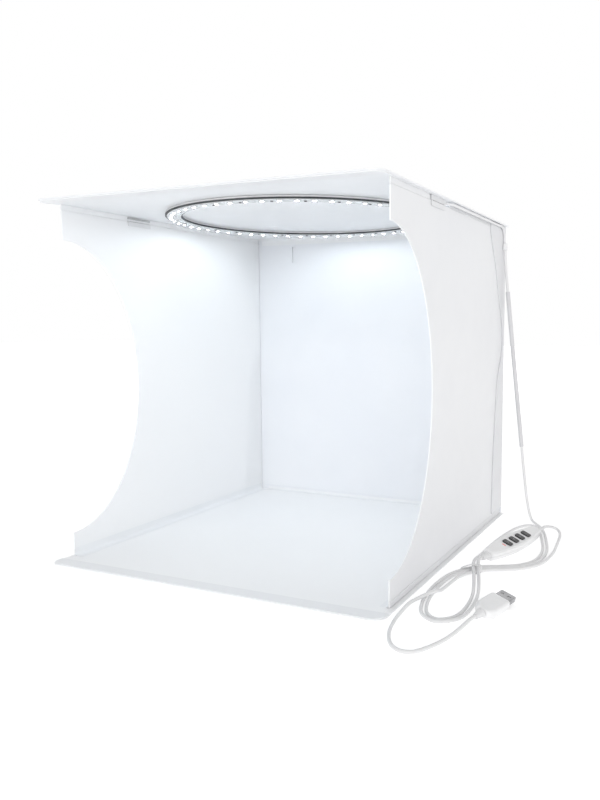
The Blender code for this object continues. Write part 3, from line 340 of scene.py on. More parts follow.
def strongest(owner, values):
    """The highest of several values."""
    highest = values[0]
    for value in values[1:]:
        highest = arithmetic(owner, "MAXIMUM", highest, value)
    return highest


def near(material, value, place, full, none):
    """1 where a value lies within the full distance of a place, 0 past the other distance."""
    away = arithmetic(material, "ABSOLUTE", arithmetic(material, "SUBTRACT", value, place))
    return remap(material, away, full, none, 1, 0)


def patches(material, scale, detail=2.0):
    """Soft clouds from 0 to 1."""
    return remap(material, cloud(material, scale, detail), 0.35, 0.65, 0, 1)


def shade_colour(material, value, pale, dark):
    """Base colour that runs from pale to dark with a value from 0 to 1."""
    mix = add_node(material, "ShaderNodeMix", data_type="RGBA")
    set_inputs(mix, {"A": (*pale, 1), "B": (*dark, 1)})
    join(material, value, mix.inputs["Factor"])
    join(material, mix.outputs["Result"], surface(material).inputs["Base Color"])


def shade_roughness(material, value, low, high):
    join(material, remap(material, value, 0.3, 0.7, low, high), surface(material).inputs["Roughness"])


def raise_bump(material, height, distance, strength=1.0):
    """Adds a bump over any that the material has."""
    normal = surface(material).inputs["Normal"]
    bump = add_node(material, "ShaderNodeBump")
    set_inputs(bump, {"Distance": distance, "Strength": strength})
    join(material, height, bump.inputs["Height"])
    if normal.links:
        join(material, normal.links[0].from_socket, bump.inputs["Normal"])
    join(material, bump.outputs["Normal"], normal)


def line_mask(material, axis, places, width):
    """1 along scored lines that cross an axis of the object at these places."""
    split = add_node(material, "ShaderNodeSeparateXYZ")
    join(material, object_place(material), split.inputs["Vector"])
    return strongest(material, [near(material, split.outputs[axis], place, 0, width) for place in places])


def translucent_sheet(name, pale, dark, scores=(), milk=0.2):
    """Milky polypropylene: soft clouding, a fine satin skin and scored fold lines, with the colour run to its
    dark end along the lines as painted shade.
    """
    material = new_material(name, pale, 0.42, Subsurface_Weight=milk, Subsurface_Radius=(1.0, 1.0, 1.0),
                            Subsurface_Scale=4 * MM, IOR=1.49, Specular_IOR_Level=0.45)
    shade = patches(material, 9, 3)
    if scores:
        lines = strongest(material, [line_mask(material, *score, SCORE_WIDTH) for score in scores])
        # Painted shade: the colour runs to its dark end along the scored fold lines.
        shade = arithmetic(material, "MAXIMUM", arithmetic(material, "MULTIPLY", shade, 0.8), lines)
        raise_bump(material, arithmetic(material, "MULTIPLY", lines, -1), 0.25 * MM)
    shade_colour(material, shade, pale, dark)
    shade_roughness(material, cloud(material, 60), 0.36, 0.5)
    raise_bump(material, cloud(material, 1400), 0.03 * MM, 0.5)
    raise_bump(material, cloud(material, 14, 1), 1.2 * MM, 0.35)
    return material


def welded_hem(name):
    """Sheet folded double and fixed by two rows of pressed weld dots, its colour set darker than the floor
    sheet as painted shade.
    """
    material = translucent_sheet(name, (0.88, 0.89, 0.905), (0.855, 0.865, 0.885))
    rows = line_mask(material, "Y", [FLOOR_LOW.y + place for place in HEM_WELDS], 1 * MM)
    spots = arithmetic(material, "MULTIPLY", rows, bands(material, "X", 80))
    pressed = remap(material, spots, 0.35, 0.6, 0, 1)
    raise_bump(material, arithmetic(material, "MULTIPLY", pressed, -1), 0.12 * MM, 0.6)
    return material


def clear_film(name):
    """Soft welded film, a little greyer than the sheets it joins."""
    material = new_material(name, (0.92, 0.93, 0.95), 0.45)
    shade_colour(material, patches(material, 25), (0.925, 0.935, 0.95), (0.895, 0.91, 0.925))
    shade_roughness(material, cloud(material, 60), 0.4, 0.5)
    raise_bump(material, cloud(material, 1400), 0.02 * MM, 0.4)
    return material


def moulded(name, pale, dark, roughness, grain=0.02 * MM, coat=0.0):
    """Moulded plastic or rubber with a fine eroded grain."""
    material = new_material(name, pale, roughness, Coat_Weight=coat, Coat_Roughness=0.25)
    shade_colour(material, patches(material, 55, 3), pale, dark)
    shade_roughness(material, cloud(material, 300), roughness - 0.06, roughness + 0.07)
    raise_bump(material, cloud(material, 2600), grain, 0.7)
    return material


def worn_metal(name, pale, dark, roughness, brush=(1, 1, 1)):
    """Plated metal with brushing and faint dull patches."""
    material = new_material(name, pale, roughness, 1.0)
    shade_colour(material, patches(material, 180, 3), pale, dark)
    shade_roughness(material, cloud(material, 900, 3, 0.6, brush), roughness - 0.08, roughness + 0.12)
    raise_bump(material, cloud(material, 2400, 2, 0.5, brush), 0.01 * MM, 0.5)
    return material


def lit_lens(name, colour, strength):
    """A glowing lens with a faint random mottle in its colour."""
    material = new_material(name, colour, 0.2, Emission_Color=(*colour, 1), Emission_Strength=strength)
    shade_colour(material, remap(material, cloud(material, 900), 0.3, 0.7, 0, 1), colour,
                 [0.92 * part for part in colour])
    raise_bump(material, cloud(material, 3000, 1), 0.01 * MM, 0.4)
    return material


def cord_jacket(name, pale, dark, roughness):
    """Soft PVC with slight bloom and an uneven skin."""
    material = new_material(name, pale, roughness, Coat_Weight=0.2, Coat_Roughness=0.3)
    shade_colour(material, patches(material, 30, 3), pale, dark)
    shade_roughness(material, cloud(material, 240), roughness - 0.07, roughness + 0.08)
    raise_bump(material, cloud(material, 1100), 0.04 * MM, 0.6)
    return material


def woven_strap(name):
    """Hook-and-loop strap: short crossed ribs."""
    material = new_material(name, (0.8, 0.8, 0.8), 0.8, Sheen_Weight=0.3)
    ribs = bands(material, "Y", 420, 0.6)
    shade_colour(material, ribs, (0.84, 0.84, 0.84), (0.68, 0.68, 0.69))
    raise_bump(material, ribs, 0.15 * MM, 0.7)
    raise_bump(material, cloud(material, 1900, 3), 0.1 * MM, 0.6)
    return material


def strip_mask(name):
    """White solder mask over ring-shaped copper tracks."""
    material = moulded(name, (0.82, 0.84, 0.85), (0.77, 0.79, 0.805), 0.3, 0.01 * MM, 0.3)
    flat = add_node(material, "ShaderNodeVectorMath", operation="MULTIPLY")
    flat.inputs[1].default_value = (1, 1, 0)
    join(material, object_place(material), flat.inputs[0])
    reach = add_node(material, "ShaderNodeVectorMath", operation="DISTANCE")
    reach.inputs[1].default_value = (RING_MIDDLE.x, RING_MIDDLE.y, 0)
    join(material, flat.outputs["Vector"], reach.inputs[0])
    tracks = strongest(material, [near(material, reach.outputs["Value"], RING_RADIUS - inset, *TRACK_HALVES)
                                  for inset in TRACK_INSETS])
    colour = surface(material).inputs["Base Color"]
    mix = add_node(material, "ShaderNodeMix", data_type="RGBA")
    mix.inputs["B"].default_value = (0.66, 0.69, 0.7, 1)
    join(material, tracks, mix.inputs["Factor"])
    join(material, colour.links[0].from_socket, mix.inputs["A"])
    join(material, mix.outputs["Result"], colour)
    raise_bump(material, tracks, 0.06 * MM, 0.6)
    return material


def make_finishes():
    floor_folds = ("X", (-SIDE_OUT + FLOOR_FOLD, SIDE_OUT - FLOOR_FOLD))
    lip_fold = ("Y", (FLOOR_LOW.y + LIP_FOLD,))
    foot_fold = ("Z", (SHEET + WALL_FOLD,))
    back_folds = ("Z", (SHEET + WALL_FOLD, CEILING - WALL_FOLD))
    return {
        "floor": translucent_sheet("floor sheet", (0.96, 0.967, 0.975), (0.94, 0.948, 0.96),
                                   [floor_folds, lip_fold], 0.1),
        "wall": translucent_sheet("wall sheet inside", (0.955, 0.962, 0.972), (0.935, 0.942, 0.955),
                                  [foot_fold]),
        # skin: the wall sheet set much darker, for the outer faces of walls, rims, pockets, keepers, back and
        # flap: painted shade
        "skin": translucent_sheet("wall sheet outside painted shade", (0.805, 0.81, 0.825), (0.78, 0.785, 0.805),
                                  [foot_fold]),
        # back: the sheet set darker and bluer than the walls and floor: painted shade
        "back": translucent_sheet("back sheet", (0.895, 0.91, 0.94), (0.855, 0.875, 0.915),
                                  [back_folds], 0.06),
        # return: the sheet set darker and greyer than the walls, for the doubled returns: painted shade
        "return": translucent_sheet("return sheet painted shade", (0.76, 0.765, 0.785), (0.73, 0.735, 0.76)),
        # top: the sheet set darker and bluer than the walls and floor: painted shade
        "top": translucent_sheet("top sheet", (0.88, 0.895, 0.915), (0.85, 0.87, 0.895), [lip_fold]),
        "hem": welded_hem("welded hem"),
        "film": clear_film("hinge film"),
        "steel": moulded("coated steel", (0.86, 0.86, 0.87), (0.82, 0.82, 0.83), 0.35),
        "magnet": moulded("coated magnet", (0.62, 0.62, 0.63), (0.54, 0.54, 0.55), 0.4, 0.03 * MM),
        "board": moulded("board core", (0.055, 0.06, 0.065), (0.03, 0.034, 0.04), 0.5, 0.03 * MM),
        "mask": strip_mask("white solder mask"),
        "package": moulded("lamp package", (0.85, 0.86, 0.85), (0.79, 0.8, 0.8), 0.35, 0.01 * MM),
        "lamp": lit_lens("lit lamp", (0.86, 0.95, 1.0), 160.0),
        "solder": worn_metal("solder", (0.72, 0.72, 0.73), (0.6, 0.6, 0.62), 0.28),
        "resistor": moulded("resistor", (0.035, 0.035, 0.04), (0.02, 0.02, 0.024), 0.35, 0.01 * MM),
        "foam": moulded("pale foam tape", (0.8, 0.8, 0.8), (0.72, 0.72, 0.73), 0.85, 0.2 * MM),
        "cord": cord_jacket("grey white jacket", (0.81, 0.81, 0.815), (0.75, 0.75, 0.755), 0.38),
        "wire": cord_jacket("lamp wire jacket", (0.84, 0.84, 0.85), (0.78, 0.78, 0.79), 0.45),
        "sleeve": cord_jacket("shrink sleeve", (0.7, 0.7, 0.715), (0.64, 0.64, 0.655), 0.5),
        "strap": woven_strap("strap"),
        "shell": moulded("white moulding", (0.87, 0.87, 0.875), (0.83, 0.83, 0.835), 0.4, coat=0.15),
        "relief": moulded("relief rubber", (0.8, 0.8, 0.805), (0.75, 0.75, 0.755), 0.5),
        "button": moulded("black button", (0.02, 0.02, 0.022), (0.012, 0.012, 0.014), 0.4),
        "print": moulded("grey sign", (0.36, 0.36, 0.37), (0.28, 0.28, 0.29), 0.5),
        "indicator": lit_lens("red indicator", (0.8, 0.32, 0.3), 0.2),
        "circuit": moulded("green board", (0.03, 0.17, 0.06), (0.02, 0.12, 0.04), 0.4),
        "switch": moulded("switch body", (0.1, 0.1, 0.11), (0.06, 0.06, 0.07), 0.4),
        "terminal": moulded("wire terminal", (0.75, 0.75, 0.74), (0.68, 0.68, 0.67), 0.4),
        "nickel": worn_metal("nickel shell", (0.4, 0.4, 0.41), (0.3, 0.3, 0.31), 0.24, (1, 0.2, 1)),
        "tongue": moulded("plug tongue", (0.8, 0.8, 0.8), (0.74, 0.74, 0.74), 0.45),
        "gold": worn_metal("gold contact", (0.85, 0.62, 0.28), (0.75, 0.52, 0.2), 0.25),
    }


# Shaping
def place_on(axis, level, across, up):
    return Vector({"X": (level, across, up), "Y": (across, level, up), "Z": (across, up, level)}[axis])


def rectangle(left, low, right, high):
    return [(left, low), (right, low), (right, high), (left, high)]


def bevel(bm, geom, width, segments, affect="EDGES", clamp=False):
    bmesh.ops.bevel(bm, geom=geom, offset=width, offset_type="OFFSET", segments=segments, profile=0.5,
                    affect=affect, material=-1, clamp_overlap=clamp)


def everything(bm):
    return bm.verts[:] + bm.edges[:] + bm.faces[:]


def drawn_verts(drawn):
    """The new verts of an extrusion."""
    return [item for item in drawn["geom"] if isinstance(item, bmesh.types.BMVert)]


def draw_out(bm, offset):
    """Extrudes a flat blank by an offset."""
    drawn = bmesh.ops.extrude_face_region(bm, geom=bm.faces[:])
    bmesh.ops.translate(bm, verts=drawn_verts(drawn), vec=offset)


def closed_loop(bm, places):
    """Verts at these places and the edges that join them round."""
    corners = [bm.verts.new(place) for place in places]
    return corners, [bm.edges.new((corners[index - 1], corners[index])) for index in range(len(corners))]


def cut_blank(outline, axis, level):
    """One flat face through an outline's corners."""
    bm = bmesh.new()
    bm.faces.new([bm.verts.new(place_on(axis, level, *corner)) for corner in outline])
    return bm


def round_corners(bm, corners, radius, segments=8):
    bevel(bm, corners, radius, segments, "VERTICES")


def thicken(bm, axis, depth):
    draw_out(bm, place_on(axis, depth, 0, 0))


def soften(bm, width, segments=2, picked=lambda edge: True):
    """Rounds the sharp edges of a closed shape."""
    bmesh.ops.recalc_face_normals(bm, faces=bm.faces)
    sharp = [edge for edge in bm.edges
             if len(edge.link_faces) == 2 and edge.calc_face_angle() > SHARP_ANGLE and picked(edge)]
    bevel(bm, sharp, width, segments, clamp=True)


def rounded_slab(outline, axis, low, high, edge, at_corner=None, radius=0.0):
    """A slab of an outline, with the picked corners rounded and all its edges softened."""
    bm = cut_blank(outline, axis, low)
    if at_corner:
        round_corners(bm, [vert for vert in bm.verts if at_corner(vert.co)], radius)
    thicken(bm, axis, high - low)
    soften(bm, edge)
    return bm


def show(name, data):
    """A new object in the scene."""
    thing = bpy.data.objects.new(name, data)
    bpy.context.scene.collection.objects.link(thing)
    return thing


def finished_mesh(name, bm):
    mesh = bpy.data.meshes.new(name)
    bm.to_mesh(mesh)
    bm.free()
    return mesh


def new_piece(name, bm, finishes, body, stands_for=(), even=True):
    """Turns a finished bmesh into a piece that rides on a body."""
    bmesh.ops.remove_doubles(bm, verts=bm.verts, dist=MERGE_DISTANCE)
    bmesh.ops.recalc_face_normals(bm, faces=bm.faces)
    mesh = finished_mesh(name, bm)
    for finish in finishes:
        mesh.materials.append(FINISHES[finish])
    mesh.shade_smooth()
    mesh.set_sharp_from_angle(angle=SHARP_ANGLE)
    piece = show(name, mesh)
    if even:
        weighted = piece.modifiers.new("even shading", "WEIGHTED_NORMAL")
        weighted.keep_sharp = True
        weighted.weight = 60
    if body:
        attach(piece, body)
    if stands_for:
        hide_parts(*stands_for)
    return piece


def softened_node(node, kind, finish, body, crown=None):
    """A copy of a CAD node with its edges rounded as its kind has them, those of its crown more."""
    bm = bmesh.new()
    bm.from_mesh(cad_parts[node].data)
    bmesh.ops.remove_doubles(bm, verts=bm.verts, dist=MERGE_DISTANCE)
    bmesh.ops.dissolve_limit(bm, angle_limit=FLAT_ANGLE, verts=bm.verts, edges=bm.edges)
    if crown:
        soften(bm, *NODE_EDGES["crown"], crown)
    soften(bm, *NODE_EDGES[kind])
    return new_piece(f"{node}_fine", bm, [finish], body, (node,))


def dress(node, finish):
    """Gives a CAD node that stays its finish."""
    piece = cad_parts[node]
    for holder in piece.material_slots:
        holder.material = FINISHES[finish]
    return piece


# Sheets
def lipped_slab(half, front, rear, radius, low, high, edge):
    """A flat sheet with two rounded front corners."""
    return rounded_slab(rectangle(-half, front, half, rear), "Z", low, high, edge,
                        lambda place: place.y < front + MM, radius)


def lipped_sheet(name, front, bottom, top, hem_low, hem_high):
    """A floor or top sheet and the doubled lip welded on it."""
    sheet = lipped_slab(HALF, front, FLOOR_HIGH.y, CORNER_RADIUS, bottom, top, SOFT_EDGE)
    new_piece(f"{name}_sheet", sheet, [name], name, (f"{name}_panel",))
    hem_front = FLOOR_LOW.y + HEM_INSET
    hem = lipped_slab(HALF - HEM_INSET, hem_front, hem_front + HEM_WIDTH, CORNER_RADIUS - HEM_INSET,
                      hem_low, hem_high, THIN_EDGE)
    new_piece(f"{name}_lip_hem", hem, ["hem"], name, (f"{name}_hem",))


def make_floor():
    lipped_sheet("floor", FLOOR_LOW.y, FLOOR_LOW.z, FLOOR_HIGH.z, SHEET - WELD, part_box("floor_hem")[1].z)


def wall_blank(sign):
    """A side wall cut to a D in front, with the keeper's notch in its top edge."""
    bm = bmesh.new()
    face = sign * SIDE_IN
    middle = Vector((face, FRONT, (CUT_TOP + CUT_BOTTOM) / 2))
    bmesh.ops.spin(bm, geom=[bm.verts.new((face, FRONT, CUT_TOP))], cent=middle, axis=(-1, 0, 0),
                   angle=math.pi, steps=CUT_STEPS)
    bmesh.ops.scale(bm, verts=bm.verts, vec=(1, CUT_DEPTH / (CUT_TOP - middle.z), 1),
                    space=Matrix.Translation(-middle))
    top, bottom, rear = WALL_HIGH.z, WALL_LOW.z, WALL_HIGH.y
    notch = top - KEEPER_NOTCH
    ends = sorted(bm.verts, key=lambda vert: vert.co.z)
    start, end = FRONT + CATCH[0], FRONT + CATCH[1]
    corners = ((FRONT, top), (start, top), (start, notch), (end, notch), (end, top), (rear, top),
               (rear, bottom), (FRONT, bottom))
    chain = [ends[-1]] + [bm.verts.new((face, *corner)) for corner in corners] + [ends[0]]
    for first, second in zip(chain, chain[1:]):
        bm.edges.new((first, second))
    bmesh.ops.contextual_create(bm, geom=bm.edges[:])
    round_corners(bm, [chain[1], chain[-2]], WALL_CORNER, 4)
    thicken(bm, "X", sign * (SIDE_OUT - SIDE_IN))
    soften(bm, SOFT_EDGE)
    return bm


def mark_outside(bm, outward, level):
    """Gives the outer face of a sheet its second finish, a darker copy of the inside's colour: painted shade.
    """
    for face in bm.faces:
        if face.calc_center_median().dot(Vector(outward)) > level - OUTSIDE_BAND:
            face.material_index = 1
    return bm


def make_walls():
    for side, sign in SIDES:
        body = f"{side}_side"
        # The walls' outer faces take the darker outside finish: painted shade.
        bm = mark_outside(wall_blank(sign), (sign, 0, 0), SIDE_OUT)
        new_piece(f"{side}_wall", bm, ["wall", "skin"], body, (f"{side}_panel",))
        keeper = softened_node(f"{side}_keeper", "keeper", "steel", body)
        # The keeper's outer faces take the walls' darker outside finish: painted shade.
        keeper.data.materials.append(FINISHES["skin"])
        for face in keeper.data.polygons:
            face.material_index = int(face.center.x * sign > SIDE_OUT)


def slitted_back():
    """The back plate with two rounded hang slits near its top."""
    outline = rectangle(-BACK_HIGH.x, BACK_LOW.z, BACK_HIGH.x, BACK_HIGH.z)
    bm = cut_blank(outline, "Y", BACK_HIGH.y - SHEET)
    cuts = []
    for middle in (-SLIT_MIDDLE, SLIT_MIDDLE):
        cuts += [((middle + side, 0, 0), (1, 0, 0)) for side in (-SLIT_HALF, SLIT_HALF)]
    cuts += [((0, 0, height), (0, 0, 1)) for height in SLIT_HEIGHTS]
    for place, normal in cuts:
        bmesh.ops.bisect_plane(bm, geom=everything(bm), plane_co=place, plane_no=normal, dist=MERGE_DISTANCE)
    middles = [(face, face.calc_center_median()) for face in bm.faces]
    slits = [face for face, middle in middles
             if abs(abs(middle.x) - SLIT_MIDDLE) < SLIT_HALF and SLIT_HEIGHTS[0] < middle.z < SLIT_HEIGHTS[1]]
    bmesh.ops.delete(bm, geom=slits, context="FACES")
    thicken(bm, "Y", SHEET)
    soften(bm, SOFT_EDGE, 2, lambda edge: abs(edge.verts[0].co.x) < BACK_HIGH.x - MM)
    soften(bm, REAR_EDGE, 4, lambda edge: min(vert.co.y for vert in edge.verts) > BACK_HIGH.y - SHEET / 2)
    return bm


# Front edge of a return: height and depth before the rear, in millimetres
RETURN_EDGE = [
    (298.5, 55), (286, 53), (272, 44.5), (258, 35.5), (244, 29), (230, 22.5),
    (216, 15), (203, 9), (190, 5.6), (178, 5), (166, 9), (154, 17),
    (143, 22), (128, 24.8), (110, 27), (90, 30), (70, 32.6), (45, 34.6),
    (22, 35.6), (8, 36),
]


def smooth_path(points, samples):
    """Points of a smooth curve through the route's points."""
    route = [Vector(point) for point in points]
    path = []
    for span in range(len(route) - 1):
        start, end = route[span], route[span + 1]
        before = route[span - 1] if span else start * 2 - end
        after = route[span + 2] if span + 2 < len(route) else end * 2 - start
        for step in range(samples):
            share = step / samples
            path.append((start * 2 + (end - before) * share
                         + (before * 2 - start * 5 + end * 4 - after) * share ** 2
                         + (start * 3 - before - end * 3 + after) * share ** 3) / 2)
    path.append(route[-1])
    return path


def make_back():
    # The back's rear face takes the darker outside finish: painted shade.
    bm = mark_outside(slitted_back(), (0, 1, 0), BACK_HIGH.y)
    new_piece("back_sheet", bm, ["back", "skin"], "back", ("back_panel",))
    edge = smooth_path([(BACK_HIGH.y - depth * MM, height * MM, 0) for height, depth in RETURN_EDGE], 3)
    rear = BACK_HIGH.y - SHEET
    outline = [(point.x, point.y) for point in edge] + [(rear, edge[-1].y), (rear, edge[0].y)]
    # The returns take the darker return finish: painted shade.
    for side, sign in SIDES:
        bm = rounded_slab(outline, "X", sign * (SIDE_OUT + WELD), sign * BACK_HIGH.x, THIN_EDGE)
        new_piece(f"{side}_return", bm, ["return"], "back", ())
    low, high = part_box("rear_flap")
    bm = rounded_slab(rectangle(low.x, low.z, high.x, high.z), "Y", low.y, high.y, THIN_EDGE,
                      lambda place: place.z < low.z + MM, FLAP_RADIUS)
    # The flap's rear face takes the darker outside finish: painted shade.
    mark_outside(bm, (0, 1, 0), high.y)
    new_piece("rear_tail_flap", bm, ["back", "skin"], "back", ("rear_flap",))
    softened_node("cord_clip", "clip", "shell", "back")


def rim_blank(sign, outlet):
    """A rim under the top, notched for its magnet and on the right for the lamp's wire."""
    top, bottom = CEILING, WALL_HIGH.z + RIM_FOOT
    notch = CEILING - RIM_ROOT
    rear = FRONT + RIM_LENGTH
    outline = [(rear, bottom), (rear, top), (FRONT, top), (FRONT, bottom)]
    for start, end in [CATCH] + [WIRE_OUTLET] * outlet:
        outline += [(FRONT + start, bottom), (FRONT + start, notch), (FRONT + end, notch),
                    (FRONT + end, bottom)]
    bm = cut_blank(outline, "X", sign * SIDE_IN)
    thicken(bm, "X", sign * (SIDE_OUT - SIDE_IN))
    soften(bm, THIN_EDGE, 2, lambda edge: max(vert.co.z for vert in edge.verts) < CEILING - GAP)
    return bm


def make_pockets(side, sign):
    """Thin pockets of sheet that hold a rim's magnet from outside and from inside."""
    low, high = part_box(f"{side}_magnet")
    inner, outer = sorted((abs(low.x), abs(high.x)))
    # The outer pocket takes the darker outside finish: painted shade.
    for name, finish, face, away, head in (("outer", "skin", outer, 1, CEILING - WELD),
                                           ("inner", "wall", inner, -1, low.z + INNER_POCKET_HEIGHT)):
        start = face + away * WELD
        outline = rectangle(low.y - POCKET_OVERLAP, low.z, high.y + POCKET_OVERLAP, head)
        bm = rounded_slab(outline, "X", sign * start, sign * (start + away * POCKET_THICKNESS), WELD)
        new_piece(f"{side}_magnet_{name}_pocket", bm, [finish], "top", ())


def make_top():
    lipped_sheet("top", TOP_LOW.y, CEILING, TOP_HIGH.z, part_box("top_hem")[0].z, CEILING + WELD)
    for side, sign in SIDES:
        # The rims' outer faces take the darker outside finish: painted shade.
        bm = mark_outside(rim_blank(sign, sign > 0), (sign, 0, 0), SIDE_OUT)
        new_piece(f"{side}_rim", bm, ["wall", "skin"], "top", ())
        softened_node(f"{side}_magnet", "magnet", "magnet", "top")
        make_pockets(side, sign)


# Share of a film's reach along each of its two sheets, from its edge on one to its edge on the other
FILM_ROUTE = [(1.0, 0.0), (0.8, 0.0), (0.6, 0.0), (0.42, 0.0), (0.28, 0.02), (0.17, 0.06), (0.1, 0.1),
              (0.06, 0.17), (0.02, 0.28), (0.0, 0.42), (0.0, 0.6), (0.0, 0.8), (0.0, 1.0)]
WIDE_FILM = 7 * MM
NARROW_FILM = 3.4 * MM
FILM_END = 4 * MM
BACK_FILM_END = 9 * MM


def corner_film(corner, across, up, reach, along, ends):
    """A thin film welded round an inner corner; across and up point into the corner's opening."""
    outline = []
    for lift, shares in ((WELD, FILM_ROUTE), (WELD + FILM_THICKNESS, FILM_ROUTE[::-1])):
        for first, second in shares:
            outline.append(corner + across * (first * reach + lift) + up * (second * reach + lift))
    bm = bmesh.new()
    bm.faces.new([bm.verts.new(point + along * ends[0]) for point in outline])
    draw_out(bm, along * (ends[1] - ends[0]))
    return bm


def make_hinge_films():
    """The living hinges: films welded into the inner corners."""
    rear = BACK_HIGH.y - SHEET
    x, y, z = Vector((1, 0, 0)), Vector((0, 1, 0)), Vector((0, 0, 1))
    run = (FRONT + MM, rear - FILM_END)
    folds = (("left_hinge_film", "floor", "left_side", (-SIDE_IN, 0, SHEET), x, z, y, run, WIDE_FILM),
             ("right_hinge_film", "floor", "right_side", (SIDE_IN, 0, SHEET), -x, z, y, run, WIDE_FILM),
             ("back_hinge_film", "floor", "back", (0, rear, SHEET), -y, z, x,
              (-SIDE_IN + BACK_FILM_END, SIDE_IN - BACK_FILM_END), NARROW_FILM),
             ("top_hinge_film", "top", "back", (0, rear, CEILING), -y, -z, x,
              (-SIDE_IN + FILM_END, SIDE_IN - FILM_END), WIDE_FILM))
    for name, first, second, corner, across, up, along, ends, reach in folds:
        corner = Vector(corner)
        film = new_piece(name, corner_film(corner, across, up, reach, along, ends), ["film"],
                         None, (), False)
        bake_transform(film)


# Ring light
def flat_ring(outer, width, bottom, top, edge):
    """A flat ring with chamfered edges, turned about the ring light's middle."""
    inner = outer - width
    section = [(outer - edge, bottom), (outer, bottom + edge), (outer, top - edge), (outer - edge, top),
               (inner + edge, top), (inner, top - edge), (inner, bottom + edge), (inner + edge, bottom)]
    bm = bmesh.new()
    places = [(RING_MIDDLE.x + reach, RING_MIDDLE.y, height) for reach, height in section]
    corners, edges = closed_loop(bm, places)
    bmesh.ops.spin(bm, geom=corners + edges, cent=(RING_MIDDLE.x, RING_MIDDLE.y, 0), axis=(0, 0, 1),
                   angle=math.tau, steps=RING_STEPS, use_merge=True)
    return bm


def repeat_round(bm, count):
    """Repeats everything round the ring at even steps."""
    bmesh.ops.spin(bm, geom=everything(bm), cent=(RING_MIDDLE.x, RING_MIDDLE.y, 0), axis=(0, 0, 1),
                   angle=math.tau * (count - 1) / count, steps=count - 1, use_duplicate=True)


def edges_round(verts):
    return list({edge for vert in verts for edge in vert.link_edges})


def new_block(bm, centre, size):
    """A plain block added to a bmesh; gives back its edges."""
    made = bmesh.ops.create_cube(bm, size=1)
    bmesh.ops.scale(bm, verts=made["verts"], vec=size)
    bmesh.ops.translate(bm, verts=made["verts"], vec=centre)
    return edges_round(made["verts"])


def small_block(bm, centre, size, edge):
    """A softened block added to a bmesh; gives back its faces."""
    before = set(bm.faces)
    edges = new_block(bm, centre, size)
    if edge:
        bevel(bm, edges, edge, 1)
    return [face for face in bm.faces if face not in before]


def end_blocks(bm, middle, reach, lift, size, edge, finish_index):
    """A small block in another finish at both ends of a part on the ring."""
    for side in (-1, 1):
        for face in small_block(bm, middle + Vector((0, side * reach, lift)), size, edge):
            face.material_index = finish_index


def lamp_packages(strip_bottom):
    """White packages with a phosphor window, and their solder feet."""
    bm = bmesh.new()
    length, height = LED_SIZE[1:]
    middle = Vector((RING_MIDDLE.x + LED_REACH, RING_MIDDLE.y, strip_bottom - height / 2))
    small_block(bm, middle, LED_SIZE, LED_EDGE)
    under = min(bm.faces, key=lambda face: face.calc_center_median().z)
    bmesh.ops.inset_individual(bm, faces=[under], thickness=LED_WINDOW_FRAME)
    bmesh.ops.inset_individual(bm, faces=[under], thickness=LED_WINDOW_SLOPE, depth=-LED_WINDOW_DEPTH)
    under.material_index = 1
    lift = (height - SOLDER_FOOT[2]) / 2
    end_blocks(bm, middle, length / 2 + FOOT_FROM_LED, lift, SOLDER_FOOT, SOLDER_EDGE, 2)
    repeat_round(bm, LED_COUNT)
    return bm


def chip_resistors(strip_bottom):
    """Dark chips with tinned ends between every other pair of lamps."""
    bm = bmesh.new()
    middle = Vector((RING_MIDDLE.x + CHIP_REACH, RING_MIDDLE.y, strip_bottom - CHIP_END[2] / 2))
    small_block(bm, middle, CHIP_SIZE, CHIP_EDGE)
    end_blocks(bm, middle, CHIP_END_PLACE, 0, CHIP_END, CHIP_END_EDGE, 1)
    bmesh.ops.rotate(bm, verts=bm.verts, cent=RING_MIDDLE,
                     matrix=Matrix.Rotation(math.tau / LED_COUNT / 2, 3, "Z"))
    repeat_round(bm, CHIP_COUNT)
    return bm


def make_ring():
    tape = flat_ring(RING_RADIUS - TAPE_INSET, RING_BAND - TAPE_INSET * 2, BOARD_HIGH.z,
                     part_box("ring_tape")[1].z, TAPE_EDGE)
    new_piece("ring_foam_tape", tape, ["foam"], "top", ("ring_tape",))
    board = flat_ring(RING_RADIUS, RING_BAND, BOARD_LOW.z, BOARD_HIGH.z, BOARD_EDGE)
    new_piece("ring_light_board", board, ["board"], "top", ("ring_board",))
    strip_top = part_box("ring_leds")[1].z
    strip_bottom = strip_top - STRIP_THICKNESS
    strip = flat_ring(RING_RADIUS - STRIP_INSET, STRIP_WIDTH, strip_bottom, strip_top + GAP, STRIP_EDGE)
    new_piece("ring_mask", strip, ["mask"], "top", ("ring_leds",))
    new_piece("ring_lamps", lamp_packages(strip_bottom),
              ["package", "lamp", "solder"], "top", (), False)
    new_piece("ring_resistors", chip_resistors(strip_bottom),
              ["resistor", "solder"], "top", (), False)
    softened_node("ring_terminal", "terminal", "terminal", "top")


# Cords
def turn_place(index):
    right, depth = TURN_ROUTE[index % len(TURN_ROUTE)]
    return place_at(right, depth, TURN_HEIGHTS[index % len(TURN_ROUTE)])


def lane_place(index, lane):
    """A turn's point moved to the right of the cord's way by a number of lanes."""
    ahead = turn_place(index + 1) - turn_place(index - 1)
    ahead.z = 0
    ahead.normalize()
    return turn_place(index) + Vector((ahead.y, -ahead.x, 0)) * LANE * lane


def lead_route():
    route = [place_at(*LEAD_EXIT)] + [place_at(*point) for point in HANG_ROUTE]
    count = len(TURN_ROUTE)
    route += [lane_place(index, index / count) for index in range(LEAD_LAST_TURN_POINT)]
    tip = Vector((0, -CONTROLLER_LENGTH / 2 - RELIEF_LENGTH - GAP * 2, CONTROLLER_HEIGHT / 2))
    return route + [CONTROLLER_FRAME @ (tip - STRAIGHT_END), CONTROLLER_FRAME @ tip]


